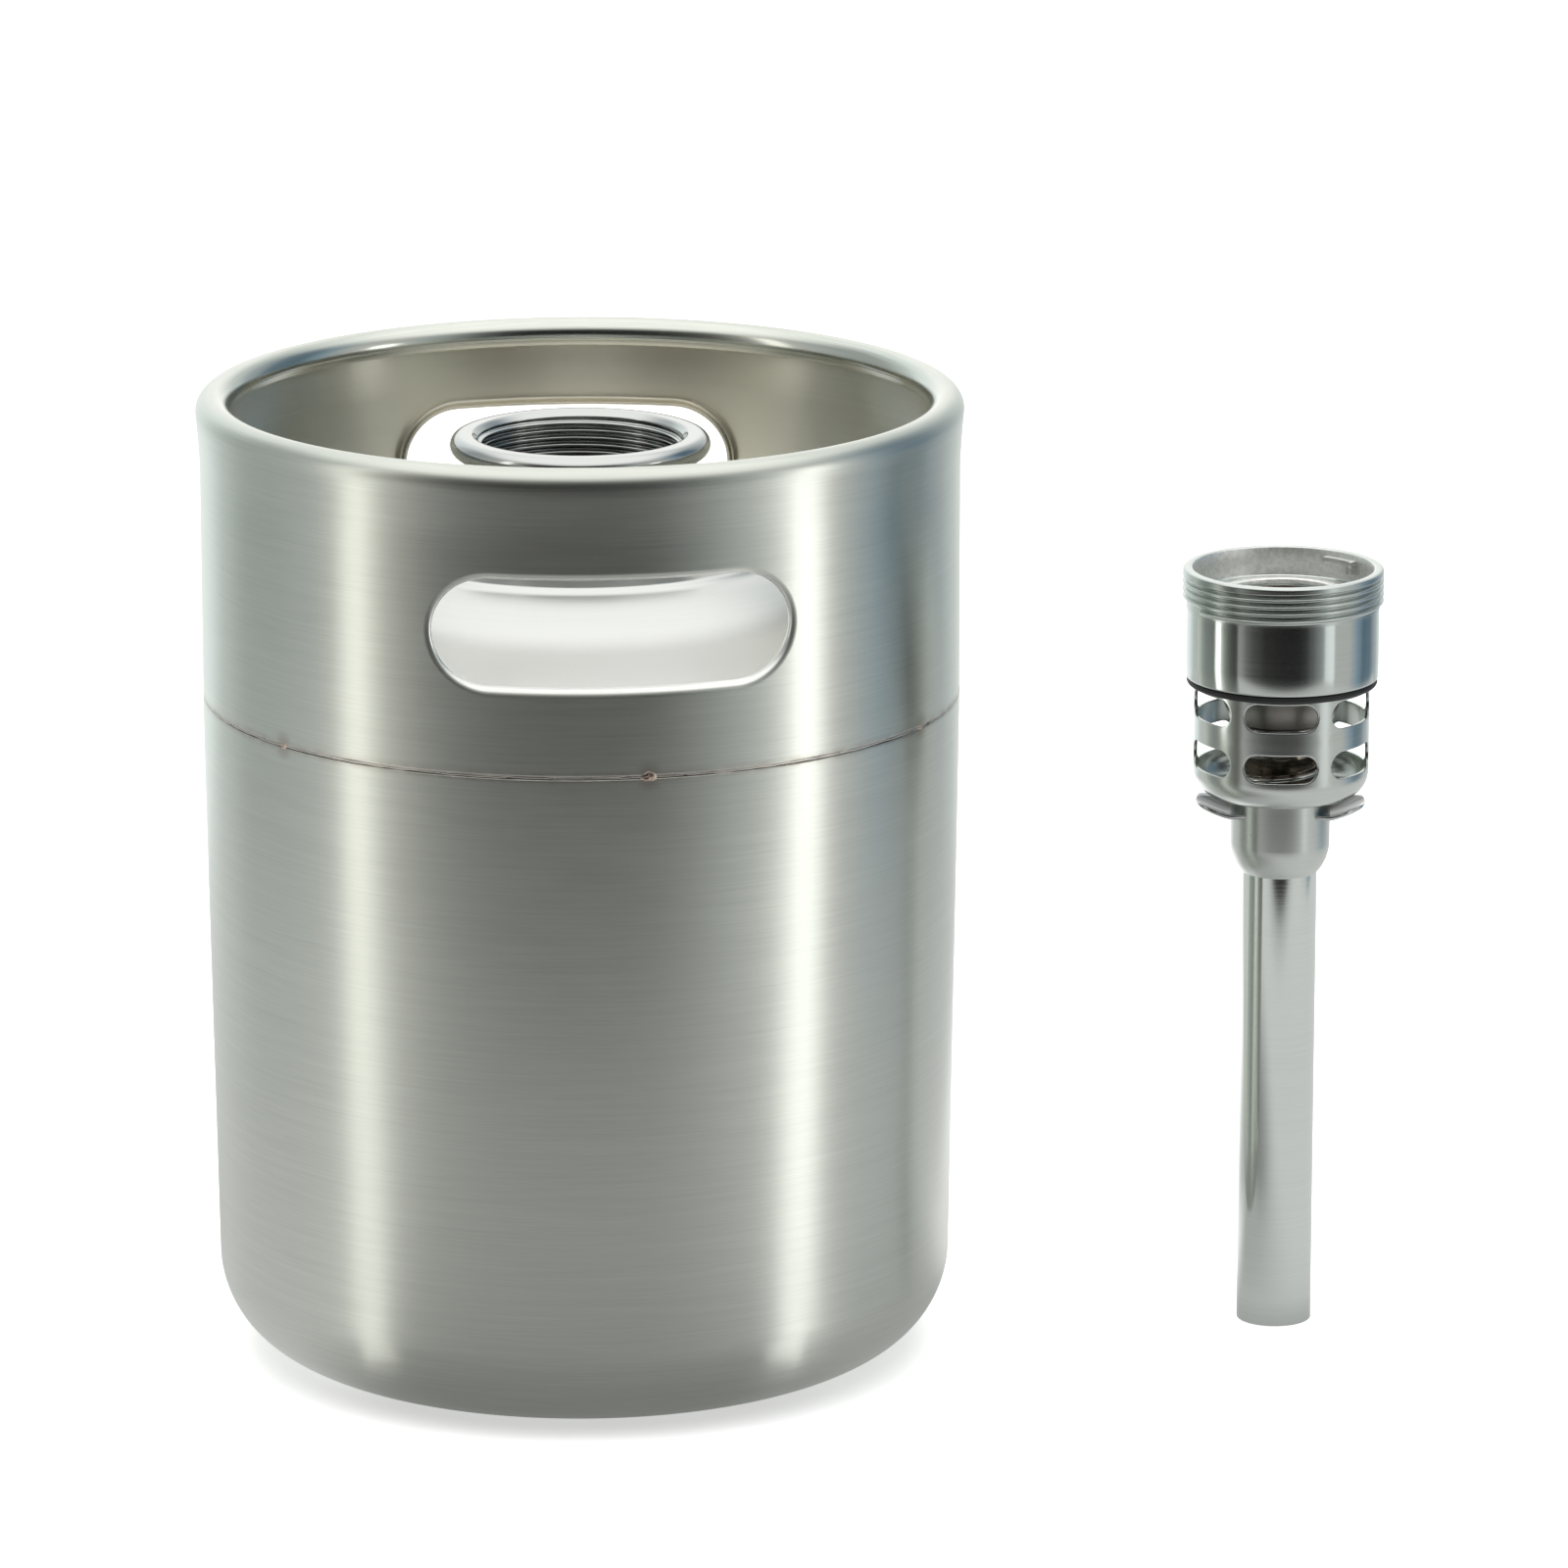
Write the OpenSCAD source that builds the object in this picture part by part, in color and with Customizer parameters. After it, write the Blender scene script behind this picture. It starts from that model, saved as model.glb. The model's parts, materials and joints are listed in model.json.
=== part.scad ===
// Five litre mini keg in stainless sheet, with its screwed extractor spear
// standing beside it. Millimetres, +Z up. The origin is on the floor, on the
// keg's own axis. The spear stands on the floor at [spear_x, spear_y].

/* [Keg] */
// Outer radius of the lower vessel
vessel_r = 92.6; // [92.3:0.1:93.2]
// Outer radius of the lower vessel just above its rounded bottom corner
vessel_foot_r = 90.4; // [89.8:0.1:92.5]
// Sheet thickness of the lower vessel
vessel_t = 1.0; // [0.8:0.1:1.2]
// Height of the seam between the vessel and the handle skirt
seam_z = 165.6; // [164:0.2:167]
// Radius of the rounded bottom corner
corner_r = 24; // [18:1:26]
// Overall height of the keg
keg_h = 239.6; // [238:0.2:242]
// Outer radius of the handle skirt
skirt_r = 92.6; // [92.1:0.1:92.8]
// Sheet thickness of the handle skirt
skirt_t = 0.8; // [0.6:0.1:0.8]
// Outer radius of the curled rim's bend
rim_bend_r = 4.2; // [4:0.1:4.8]
// Outer radius of the rim, a little wider than the skirt below it
rim_r = 93.5; // [92.8:0.1:93.8]
// Height of the flat crown of the top head
crown_z = 202.2; // [200:0.2:203]
// Radius at which the crown rounds down
crown_r = 51; // [46:1:54]

/* [Handle holes] */
// Height of the middle of the front hole
front_hole_z = 199.9; // [197:0.1:201]
// Turn of the front hole about the keg's axis, in degrees
front_hole_turn = 6.2; // [0:0.1:10]
// Height of the middle of the back hole
back_hole_z = 204; // [198:0.1:205]
// Turn of the back hole about the keg's axis, in degrees
back_hole_turn = 3.7; // [0:0.1:10]
// Clear width of the front handle hole
hole_w = 84.6; // [70:0.2:86]
// Clear width of the back handle hole
back_hole_w = 81; // [70:0.2:86]
// Clear height of both handle holes
hole_h = 26.2; // [22:0.2:26.4]
// How far the turned-in edge reaches in from the outer face
hole_edge = 3.8; // [3:0.2:5]

/* [Neck] */
// Height of the top of the neck
neck_top = 229; // [228:0.2:231]
// Outer radius of the neck's tube
neck_r = 28.4; // [28:0.1:29]
// Radius of the rounded collar's section
collar_bend = 2.85; // [2.7:0.05:3.3]
// Radius of the neck thread's crests, the clear bore
neck_bore_r = 23.85; // [23.85:0.01:24]
// Radius of the neck thread's roots
neck_root_r = 25.0; // [24.9:0.05:25.2]
// Distance between thread ridges
pitch = 1.814; // [1.8:0.001:1.82]

/* [Spear] */
// Where the spear stands, to the keg's right
spear_x = 172.3; // [165:0.1:190]
// Where the spear stands, to the keg's back
spear_y = 12.4; // [-30:0.1:30]
// Turn of the spear's cage and tabs about its own axis, in degrees
spear_turn = -3.2; // [-30:0.1:30]
// Height of the spear's lip
lip_z = 192.65; // [192.45:0.05:193.2]
// Radius of the spear thread's crests
thread_r = 24.75; // [24.6:0.05:24.8]
// Outer radius of the housing below the thread
housing_r = 23.75; // [23.6:0.05:23.8]
// Inner radius of the housing's cup
cup_r = 22.3; // [22:0.1:22.5]
// Outer radius of the slotted cage
cage_r = 21.65; // [21.65:0.01:21.7]
// Width of a cage window
window_w = 18.2; // [15:0.2:19]
// Height of a cage window
window_h = 6.9; // [5:0.1:7.4]
// Outer radius of the bell under the cage
bell_r = 12.3; // [12.2:0.05:12.5]
// Outer radius of the down tube
tube_r = 9.25; // [9.15:0.05:9.25]
// Wall of the down tube
tube_t = 0.8; // [0.6:0.1:0.9]
// Radius of the valve ball
ball_r = 7.5; // [7.4:0.05:7.5]

/* [Hidden] */
$fn = 96;

steel = [0.72, 0.73, 0.72];
satin = [0.60, 0.61, 0.60];
bright = [0.82, 0.83, 0.82];
rubber = [0.06, 0.06, 0.06];
seal_brown = [0.16, 0.11, 0.08];

weld_gap = 0.4;                       // half height of the seam's weld
vessel_in = vessel_r - vessel_t;
skirt_in = skirt_r - skirt_t;
tack_turns = [-49, 11, 63, 88, 128, 175, 222, 262];
// The head: small bend at the crown's edge, a step, then common tangent of its two large bends
crown_bend = 2;
shoulder_bend = 32;
shoulder_start = 12;
shoulder_x = crown_r + 3.4 - shoulder_bend * sin(shoulder_start);
shoulder_z = crown_z - 1.6 - shoulder_bend * cos(shoulder_start);
wall_bend = 12;
wall_bend_x = vessel_in - wall_bend;
wall_bend_z = seam_z - 2.2;
bend_dx = wall_bend_x - shoulder_x;
bend_dz = shoulder_z - wall_bend_z;
slope = atan2(bend_dz, bend_dx)
    - asin((wall_bend - shoulder_bend) / norm([bend_dx, bend_dz]));
neck_bottom = crown_z - 3;
collar_z = neck_top - collar_bend;
neck_ridges = 8;
floor_top = lip_z - 7.4;
floor_under = floor_top - 3.4;
seat_r = 13.2;
chamber_r = cage_r - 0.9;
cage_top = 170.25;
cage_bottom = 135.15;
cage_corner = 6.5;
housing_bottom = 165.15;
bell_bottom = 115.6;
spring_floor = 121.15;
spring_top = 154.25;
cup_top = 176.65;
cup_out = 16.2;
seat_top = cup_top + 4.9;             // the seal's lip, just under the housing floor
ball_z = cup_top - 3.6;
tube_in = tube_r - tube_t;
seat_z = 155.25;                         // where the ball spring's seat lies
ball_spring_z = 156.45;
lug_turns = [46, 226];

// Points along an arc from angle a to angle b, in n steps
function arc(cx, cz, r, a, b, n = 10) =
    [for (i = [0:n]) let (t = a + (b - a) * i / n) [cx + r * cos(t), cz + r * sin(t)]];

// A flat obround, long along X
module obround(w, h) {
    square([w - h, h], center = true);
    for (s = [-1, 1]) translate([s * (w - h) / 2, 0]) circle(d = h);
}

// An obround bar pointing at -Y, turned about Z, from radius r0 to r1
module punch(w, h, z, turn, r0, r1) {
    rotate([0, 0, turn]) translate([0, -r0, z]) rotate([90, 0, 0])
        linear_extrude(height = r1 - r0) obround(w, h);
}

module ring(r_out, r_in, z0, z1) {
    translate([0, 0, z0]) difference() {
        cylinder(r = r_out, h = z1 - z0);
        translate([0, 0, -1]) cylinder(r = r_in, h = z1 - z0 + 2);
    }
}

// A wedge of the plane, from angle a to angle b about Z
module sector(a, b, r, z0, z1) {
    translate([0, 0, z0]) linear_extrude(height = z1 - z0)
        polygon(concat([[0, 0]], [for (i = [0:4])
            let (t = a + (b - a) * i / 4) [r * cos(t), r * sin(t)]]));
}

// A coil of round wire about Z
module coil(r, wire, z0, z1, turns, steps = 24, sides = 8) {
    n = round(turns * steps);
    pts = [for (i = [0:n]) let (a = 360 * i / steps, z = z0 + wire
            + (z1 - z0 - 2 * wire) * i / n)
        for (k = [0:sides - 1]) let (t = 360 * k / sides)
            [(r + wire * cos(t)) * cos(a), (r + wire * cos(t)) * sin(a), z + wire * sin(t)]];
    sidesf = [for (i = [0:n - 1]) for (k = [0:sides - 1]) let (k2 = (k + 1) % sides)
        [i * sides + k, i * sides + k2, (i + 1) * sides + k2, (i + 1) * sides + k]];
    polyhedron(points = pts, faces = concat(
        [[for (k = [0:sides - 1]) k]],
        [for (f = sidesf) [f[3], f[2], f[1], f[0]]],
        [[for (k = [sides - 1:-1:0]) n * sides + k]]), convexity = 10);
}

// Deep-drawn lower vessel: wall, rounded corner, foot ring and dished bottom
module vessel_shell() {
    c = corner_r;
    f = vessel_foot_r;
    t = vessel_t;
    color(steel) rotate_extrude($fn = 180) polygon(concat(
        [[vessel_r, seam_z - weld_gap], [vessel_r, seam_z - 12]],
        arc(f - c, c, c, 0, -90, 14),
        [[f - c - 6, 0], [f - c - 10, 3.2], [f - c - 14, 4.2], [0, 5.2]],
        [[0, 5.2 + t], [f - c - 14, 4.2 + t], [f - c - 10.4, 3.2 + t], [f - c - 6.4, t]],
        arc(f - c, c, c - t, -90, 0, 14),
        [[vessel_in, seam_z - 12], [vessel_in, seam_z - weld_gap]]));
}

// Drawn top head: sleeve inside the vessel, sloping shoulder, flat crown, neck hole
module top_head() {
    t = vessel_t;
    color(satin) rotate_extrude($fn = 180) polygon(concat(
        [[vessel_in, seam_z - 8]],
        arc(wall_bend_x, wall_bend_z, wall_bend, 0, 90 - slope, 8),
        arc(shoulder_x, shoulder_z, shoulder_bend, 90 - slope, 90 - shoulder_start, 8),
        [[crown_r + 2.6, crown_z - 1.38], [crown_r + 1.9, crown_z - 1.02]],
        arc(crown_r, crown_z - crown_bend, crown_bend, 50, 90, 3),
        [[neck_r, crown_z], [neck_r, crown_z - t]],
        arc(crown_r, crown_z - crown_bend, crown_bend - t, 90, 50, 3),
        [[crown_r + 1.3, crown_z - 1.86], [crown_r + 2.2, crown_z - 2.32]],
        arc(shoulder_x, shoulder_z, shoulder_bend - t, 90 - shoulder_start, 90 - slope, 8),
        arc(wall_bend_x, wall_bend_z, wall_bend - t, 90 - slope, 0, 8),
        [[vessel_in - t, seam_z - 8]]));
}

// Handle skirt: rolled rim over the top, two handle holes with edges turned in
module handle_skirt() {
    b = rim_bend_r;
    t = skirt_t;
    cx = rim_r - b;
    cz = keg_h - b;
    flare_z = cz - 14;
    color(steel) difference() {
        union() {
            rotate_extrude($fn = 180) polygon(concat(
                [[skirt_r, seam_z + weld_gap], [skirt_r, flare_z]],
                arc(cx, cz, b, 0, 180, 16),
                [[cx - b, cz - 0.4], [cx - b + 0.8, cz - 0.4], [cx - b + 0.8, cz - 2.3],
                    [cx - b + 1.6, cz - 2.3], [cx - b + 1.6, cz]],
                arc(cx, cz, b - t, 160, 0, 14),
                [[skirt_in, flare_z], [skirt_in, seam_z + weld_gap]]));
            intersection() {
                union() {
                    punch(hole_w + 2 * t, hole_h + 2 * t, front_hole_z, front_hole_turn, 60, 94);
                    punch(back_hole_w + 2 * t, hole_h + 2 * t, back_hole_z, 180 + back_hole_turn, 60, 94);
                }
                ring(skirt_r, skirt_r - hole_edge, seam_z + 5, keg_h - 5);
            }
        }
        punch(hole_w, hole_h, front_hole_z, front_hole_turn, 50, 96);
        punch(back_hole_w, hole_h, back_hole_z, 180 + back_hole_turn, 50, 96);
    }
}

// Machined neck: tube, rounded collar, internal thread as level ridges
module neck_boss() {
    color(bright) difference() {
        union() {
            translate([0, 0, neck_bottom]) cylinder(r = neck_r, h = neck_top - neck_bottom);
            rotate_extrude() translate([neck_r + 0.5, collar_z]) circle(r = collar_bend);
        }
        rotate_extrude() polygon(concat(
            [[0, neck_bottom - 1], [neck_root_r, neck_bottom - 1]],
            [for (i = [0:neck_ridges - 1]) let (z = neck_top - 1.6 - pitch * (neck_ridges - i))
                for (p = [[neck_root_r, z - 0.5], [neck_bore_r, z + 0.1], [neck_bore_r, z + 0.45], [neck_root_r, z + 1.05]]) p],
            [[neck_root_r, neck_top - 1.1], [neck_root_r + 1.1, neck_top + 0.01], [neck_root_r + 1.1, neck_top + 1], [0, neck_top + 1]]));
    }
}

// Weld bead round the foot of the neck
module neck_weld() {
    color(satin) rotate_extrude() intersection() {
        translate([neck_r + 0.4, crown_z + 0.2]) circle(r = 1.6, $fn = 40);
        translate([neck_r, crown_z]) square([4, 4]);
    }
}

// Ground weld that fills the seam
module girth_weld() {
    color(satin) ring(skirt_r + 0.1, vessel_in, seam_z - weld_gap, seam_z + weld_gap);
}

// Small tack beads left standing on the seam
module tack_welds() {
    color([0.45, 0.40, 0.36]) for (a = tack_turns) rotate([0, 0, a])
        difference() {
            translate([0, -(skirt_r - 1.0), seam_z]) sphere(r = 1.9, $fn = 48);
            cylinder(r = skirt_r + 0.1, h = 400, $fn = 720);
        }
}

module at_spear() {
    translate([spear_x, spear_y, 0]) children();
}

// Threaded housing of the spear: cup for the coupler, valve seat, outside thread
module spear_housing() {
    color(steel) at_spear() difference() {
        rotate_extrude() polygon(concat(
            [[chamber_r, cage_top], [cage_r, cage_top], [cage_r, housing_bottom], [housing_r - 0.4, housing_bottom],
                [housing_r, housing_bottom + 0.4], [housing_r, lip_z - 8.8]],
            [for (i = [0:3]) let (z = lip_z - 7.6 + pitch * i)
                for (p = [[housing_r - 0.1, z - 0.6], [thread_r, z - 0.15], [thread_r, z + 0.2], [housing_r - 0.1, z + 0.7]]) p],
            [[housing_r - 0.1, lip_z - 1.3], [thread_r, lip_z - 0.8], [thread_r, lip_z - 0.5], [thread_r - 0.5, lip_z], [cup_r, lip_z],
                [cup_r, floor_top], [16.2, floor_top], [16.2, floor_top + 0.9], [15.7, floor_top + 1.4],
                [seat_r + 0.5, floor_top + 1.4], [seat_r, floor_top + 0.9], [seat_r, floor_under], [chamber_r, floor_under]]));
    }
}

// Two lugs inside the cup that the coupler's claws turn under
module coupler_lugs() {
    color(steel) at_spear() for (a = lug_turns) {
        intersection() {
            ring(cup_r, cup_r - 1.9, lip_z - 2.9, lip_z - 1.4);
            sector(a - 13, a + 13, 40, 150, 220);
        }
        intersection() {
            ring(cup_r, cup_r - 1.9, lip_z - 5.0, lip_z - 2.9);
            sector(a - 13, a - 7, 40, 150, 220);
        }
    }
}

// Rubber ring that seals the housing in the neck
module housing_o_ring() {
    color(rubber) at_spear() rotate_extrude()
        translate([cage_r + 0.95, housing_bottom - 0.92]) circle(r = 0.9, $fn = 40);
}

// Pressed cage with two rows of six windows
module slotted_cage() {
    t = 0.9;
    c = cage_corner;
    color(steel) at_spear() difference() {
        rotate_extrude() polygon(concat(
            [[cage_r, cage_top]],
            arc(cage_r - c, cage_bottom + c, c, 0, -90, 9),
            [[bell_r, cage_bottom], [bell_r, cage_bottom + t]],
            arc(cage_r - c, cage_bottom + c, c - t, -90, 0, 9),
            [[cage_r - t, cage_top]]));
        for (row = [159.15, 146.35]) for (i = [0:5])
            punch(window_w, window_h, row, spear_turn + 60 * i, 12, 26);
    }
}

// Two dished spring tabs under the cage, which stop the spear flying out
module safety_wings() {
    color(bright) at_spear() intersection() {
        rotate_extrude() polygon([[bell_r, 128.85], [15, 129.55], [18, 131.05], [21, 133.45],
            [20.6, 134.65], [17.4, 132.25], [14.6, 130.85], [bell_r, 130.05]]);
        rotate([0, 0, spear_turn]) for (s = [-1, 1]) translate([s * 12.3, 0, 120]) cylinder(r = 9.6, h = 30);
    }
}

// Bell under the cage that holds the main spring and guides the tube
module bell_sleeve() {
    color(steel) at_spear() rotate_extrude() polygon(concat(
        [[bell_r, cage_bottom + 0.9]],
        arc(bell_r - 11.66, 123.4, 11.66, 0, -41, 9),
        [[tube_r + 0.08, bell_bottom], [tube_r + 0.08, spring_floor], [10.9, spring_floor]],
        [[11.25, spring_floor + 1.1], [bell_r - 0.75, spring_floor + 2.6], [bell_r - 0.75, cage_bottom + 0.9]]));
}

// Down tube, from the floor up to the valve seal
module down_tube() {
    color(bright) at_spear() ring(tube_r, tube_in, 0, cup_top);
}

// Flared cup on the tube that carries the seal and takes the main spring
module valve_cup() {
    color(satin) at_spear() rotate_extrude() polygon([
        [tube_r, spring_top], [12.5, spring_top], [cup_out, 163.25], [cup_out, cup_top],
        [cup_out - 0.8, cup_top], [cup_out - 0.8, 163.55], [12.0, spring_top + 1], [tube_r, spring_top + 1]]);
}

// Moulded rubber seal with a raised hub round the ball's opening
module valve_seal() {
    color(seal_brown) at_spear() rotate_extrude() polygon([
        [ball_r - 1.2, cup_top + 0.95], [tube_in, cup_top], [cup_out + 0.7, cup_top],
        [cup_out + 0.7, cup_top + 4.4], [cup_out, seat_top], [seat_r + 0.4, seat_top],
        [seat_r + 0.1, cup_top + 4.2], [seat_r - 0.8, cup_top + 4.6], [seat_r - 0.8, cup_top + 7.6],
        [11.6, cup_top + 8], [11.6, cup_top + 7.2], [ball_r - 0.3, cup_top + 7.2],
        [ball_r - 0.3, cup_top + 6.6], [ball_r - 1.2, cup_top + 6]]);
}

// Steel ring in the seal's hub, which the coupler's probe presses on
module seal_ring() {
    color(bright) at_spear() ring(11.6, ball_r - 0.3, cup_top + 7.2, cup_top + 8);
}

// Washer in the tube that the ball spring stands on
module ball_spring_seat() {
    color(satin) at_spear() ring(tube_in, 4.6, seat_z, ball_spring_z);
}

// Main spring between the bell and the valve cup
module valve_spring() {
    color(bright) at_spear() coil(10.3, 0.7, spring_floor + 0.3, spring_top, 6.5);
}

// Light spring that lifts the ball
module ball_spring() {
    color(bright) at_spear() coil(5.5, 0.45, ball_spring_z, ball_z - 5.6, 5, 20, 8);
}

// Ball that closes the liquid way
module valve_ball() {
    color(bright) at_spear() translate([0, 0, ball_z]) sphere(r = ball_r - 0.02);
}

vessel_shell();
top_head();
handle_skirt();
neck_boss();
neck_weld();
girth_weld();
tack_welds();
spear_housing();
coupler_lugs();
housing_o_ring();
slotted_cage();
safety_wings();
bell_sleeve();
down_tube();
valve_cup();
valve_seal();
seal_ring();
ball_spring_seat();
valve_spring();
ball_spring();
valve_ball();
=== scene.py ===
import json
import math

import bpy
import numpy as np
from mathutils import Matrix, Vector

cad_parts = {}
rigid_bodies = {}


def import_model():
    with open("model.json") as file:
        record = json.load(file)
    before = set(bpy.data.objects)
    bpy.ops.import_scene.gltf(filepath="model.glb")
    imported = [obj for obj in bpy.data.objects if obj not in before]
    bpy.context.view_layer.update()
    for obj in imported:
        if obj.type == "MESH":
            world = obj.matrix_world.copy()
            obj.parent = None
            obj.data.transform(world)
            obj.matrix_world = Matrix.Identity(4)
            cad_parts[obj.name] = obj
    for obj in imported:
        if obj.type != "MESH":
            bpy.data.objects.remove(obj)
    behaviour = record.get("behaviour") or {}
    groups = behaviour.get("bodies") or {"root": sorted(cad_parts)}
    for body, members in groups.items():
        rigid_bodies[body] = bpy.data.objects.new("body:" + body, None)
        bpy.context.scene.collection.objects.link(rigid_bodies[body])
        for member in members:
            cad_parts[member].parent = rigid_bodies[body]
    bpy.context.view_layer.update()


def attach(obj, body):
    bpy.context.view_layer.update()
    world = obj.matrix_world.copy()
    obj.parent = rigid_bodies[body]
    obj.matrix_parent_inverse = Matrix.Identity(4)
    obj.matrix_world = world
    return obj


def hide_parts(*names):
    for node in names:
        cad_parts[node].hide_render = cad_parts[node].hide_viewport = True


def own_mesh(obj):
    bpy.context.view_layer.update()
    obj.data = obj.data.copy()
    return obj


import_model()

SC = bpy.context.scene
SX, SY = 172.3, 12.4          # the spear's axis, mm
TURN = -3.2                   # turn of cage and tabs about it, degrees
KEG_H = 239.6
HEAD_DROP = -1.75            # the spear's head sits this much lower than its own drawing
PITCH = 1.814
RNG = np.random.RandomState(7)


# ---------------------------------------------------------------- geometry helpers (mm)
def arc(cx, cz, r, a, b, n=10):
    return [(cx + r * math.cos(math.radians(a + (b - a) * i / n)),
             cz + r * math.sin(math.radians(a + (b - a) * i / n))) for i in range(n + 1)]


def tidy(profile):
    out = []
    for p in profile:
        if not out or math.hypot(p[0] - out[-1][0], p[1] - out[-1][1]) > 1e-4:
            out.append((float(p[0]), float(p[1])))
    if math.hypot(out[0][0] - out[-1][0], out[0][1] - out[-1][1]) < 1e-4:
        out.pop()
    return out


def fine(profile, step, closed=True):
    """The profile with no straight piece longer than step."""
    out = []
    n = len(profile)
    for i in range(n if closed else n - 1):
        a, b = profile[i], profile[(i + 1) % n]
        k = max(1, int(math.ceil(math.hypot(b[0] - a[0], b[1] - a[1]) / step)))
        out += [(a[0] + (b[0] - a[0]) * j / k, a[1] + (b[1] - a[1]) * j / k) for j in range(k)]
    if not closed:
        out.append(profile[-1])
    return out


def rings_to_mesh(rings, wrap_rings=True):
    """Closed loops of equal length, in order round the section, joined by quads."""
    n = len(rings[0])
    verts = [v for ring in rings for v in ring]
    faces = []
    m = len(rings)
    for i in range(m if wrap_rings else m - 1):
        j = (i + 1) % m
        for k in range(n):
            k2 = (k + 1) % n
            faces.append((i * n + k, i * n + k2, j * n + k2, j * n + k))
    return verts, faces


def lathe_data(profile, seg, wobble=None):
    """A closed profile of (r, z), counter-clockwise, turned about Z."""
    profile = tidy(profile)
    area = sum(profile[i][0] * profile[(i + 1) % len(profile)][1]
               - profile[(i + 1) % len(profile)][0] * profile[i][1] for i in range(len(profile)))
    if area < 0:
        profile = profile[::-1]
    verts, rows, faces = [], [], []
    angles = [2 * math.pi * k / seg for k in range(seg)]
    for i, (r, z) in enumerate(profile):
        if r < 1e-5:
            rows.append([len(verts)] * seg)
            verts.append((0.0, 0.0, z))
        else:
            rows.append(list(range(len(verts), len(verts) + seg)))
            for a in angles:
                rr, zz = (r, z) if wobble is None else wobble(i, r, z, a)
                verts.append((rr * math.cos(a), rr * math.sin(a), zz))
    for i in range(len(profile)):
        a, b = rows[i], rows[(i + 1) % len(profile)]
        for k in range(seg):
            k2 = (k + 1) % seg
            f = []
            for v in (a[k], a[k2], b[k2], b[k]):
                if v not in f:
                    f.append(v)
            if len(f) > 2:
                faces.append(tuple(f))
    return verts, faces


def merge(*parts):
    verts, faces = [], []
    for v, f in parts:
        o = len(verts)
        verts += list(v)
        faces += [tuple(i + o for i in x) for x in f]
    return verts, faces


def tube_along(path, radius, sides=14):
    """A round bar along a list of points, with round caps. radius is a number or a list."""
    pts = [Vector(p) for p in path]
    n = len(pts)
    rad = [radius] * n if not hasattr(radius, "__len__") else list(radius)
    verts, faces = [], []
    tangents = []
    for i in range(n):
        a, b = pts[max(0, i - 1)], pts[min(n - 1, i + 1)]
        tangents.append((b - a).normalized())
    up = Vector((0, 0, 1))
    if abs(tangents[0].dot(up)) > 0.9:
        up = Vector((1, 0, 0))
    x = tangents[0].cross(up).normalized()
    for i in range(n):
        t = tangents[i]
        x = (x - t * x.dot(t)).normalized()
        y = t.cross(x)
        for k in range(sides):
            a = 2 * math.pi * k / sides
            verts.append(tuple(pts[i] + (x * math.cos(a) + y * math.sin(a)) * rad[i]))
    for i in range(n - 1):
        for k in range(sides):
            k2 = (k + 1) % sides
            faces.append((i * sides + k, i * sides + k2, (i + 1) * sides + k2, (i + 1) * sides + k))
    faces.append(tuple(range(sides - 1, -1, -1)))
    faces.append(tuple((n - 1) * sides + k for k in range(sides)))
    return verts, faces


def piece(name, data, mat, body, node=None, origin=(0.0, 0.0, 0.0), local=False, sharp=32, normals=None):
    """A mesh in mm. origin: where the object sits. local: the vertices are already relative to it."""
    verts, faces = data
    v = np.array(verts, float)
    o = np.array(origin, float)
    if not local:
        v = v - o
    me = bpy.data.meshes.new(name)
    me.from_pydata((v * 0.001).tolist(), [], [list(f) for f in faces])
    me.polygons.foreach_set("use_smooth", [True] * len(me.polygons))
    me.update()
    me.set_sharp_from_angle(angle=math.radians(sharp))
    if normals is not None:
        me.normals_split_custom_set_from_vertices([tuple(x) for x in normals])
    me.materials.append(mat)
    ob = bpy.data.objects.new(name, me)
    SC.collection.objects.link(ob)
    ob.location = Vector(o * 0.001)
    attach(ob, body)
    if node:
        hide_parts(*([node] if isinstance(node, str) else node))
    return ob


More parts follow.
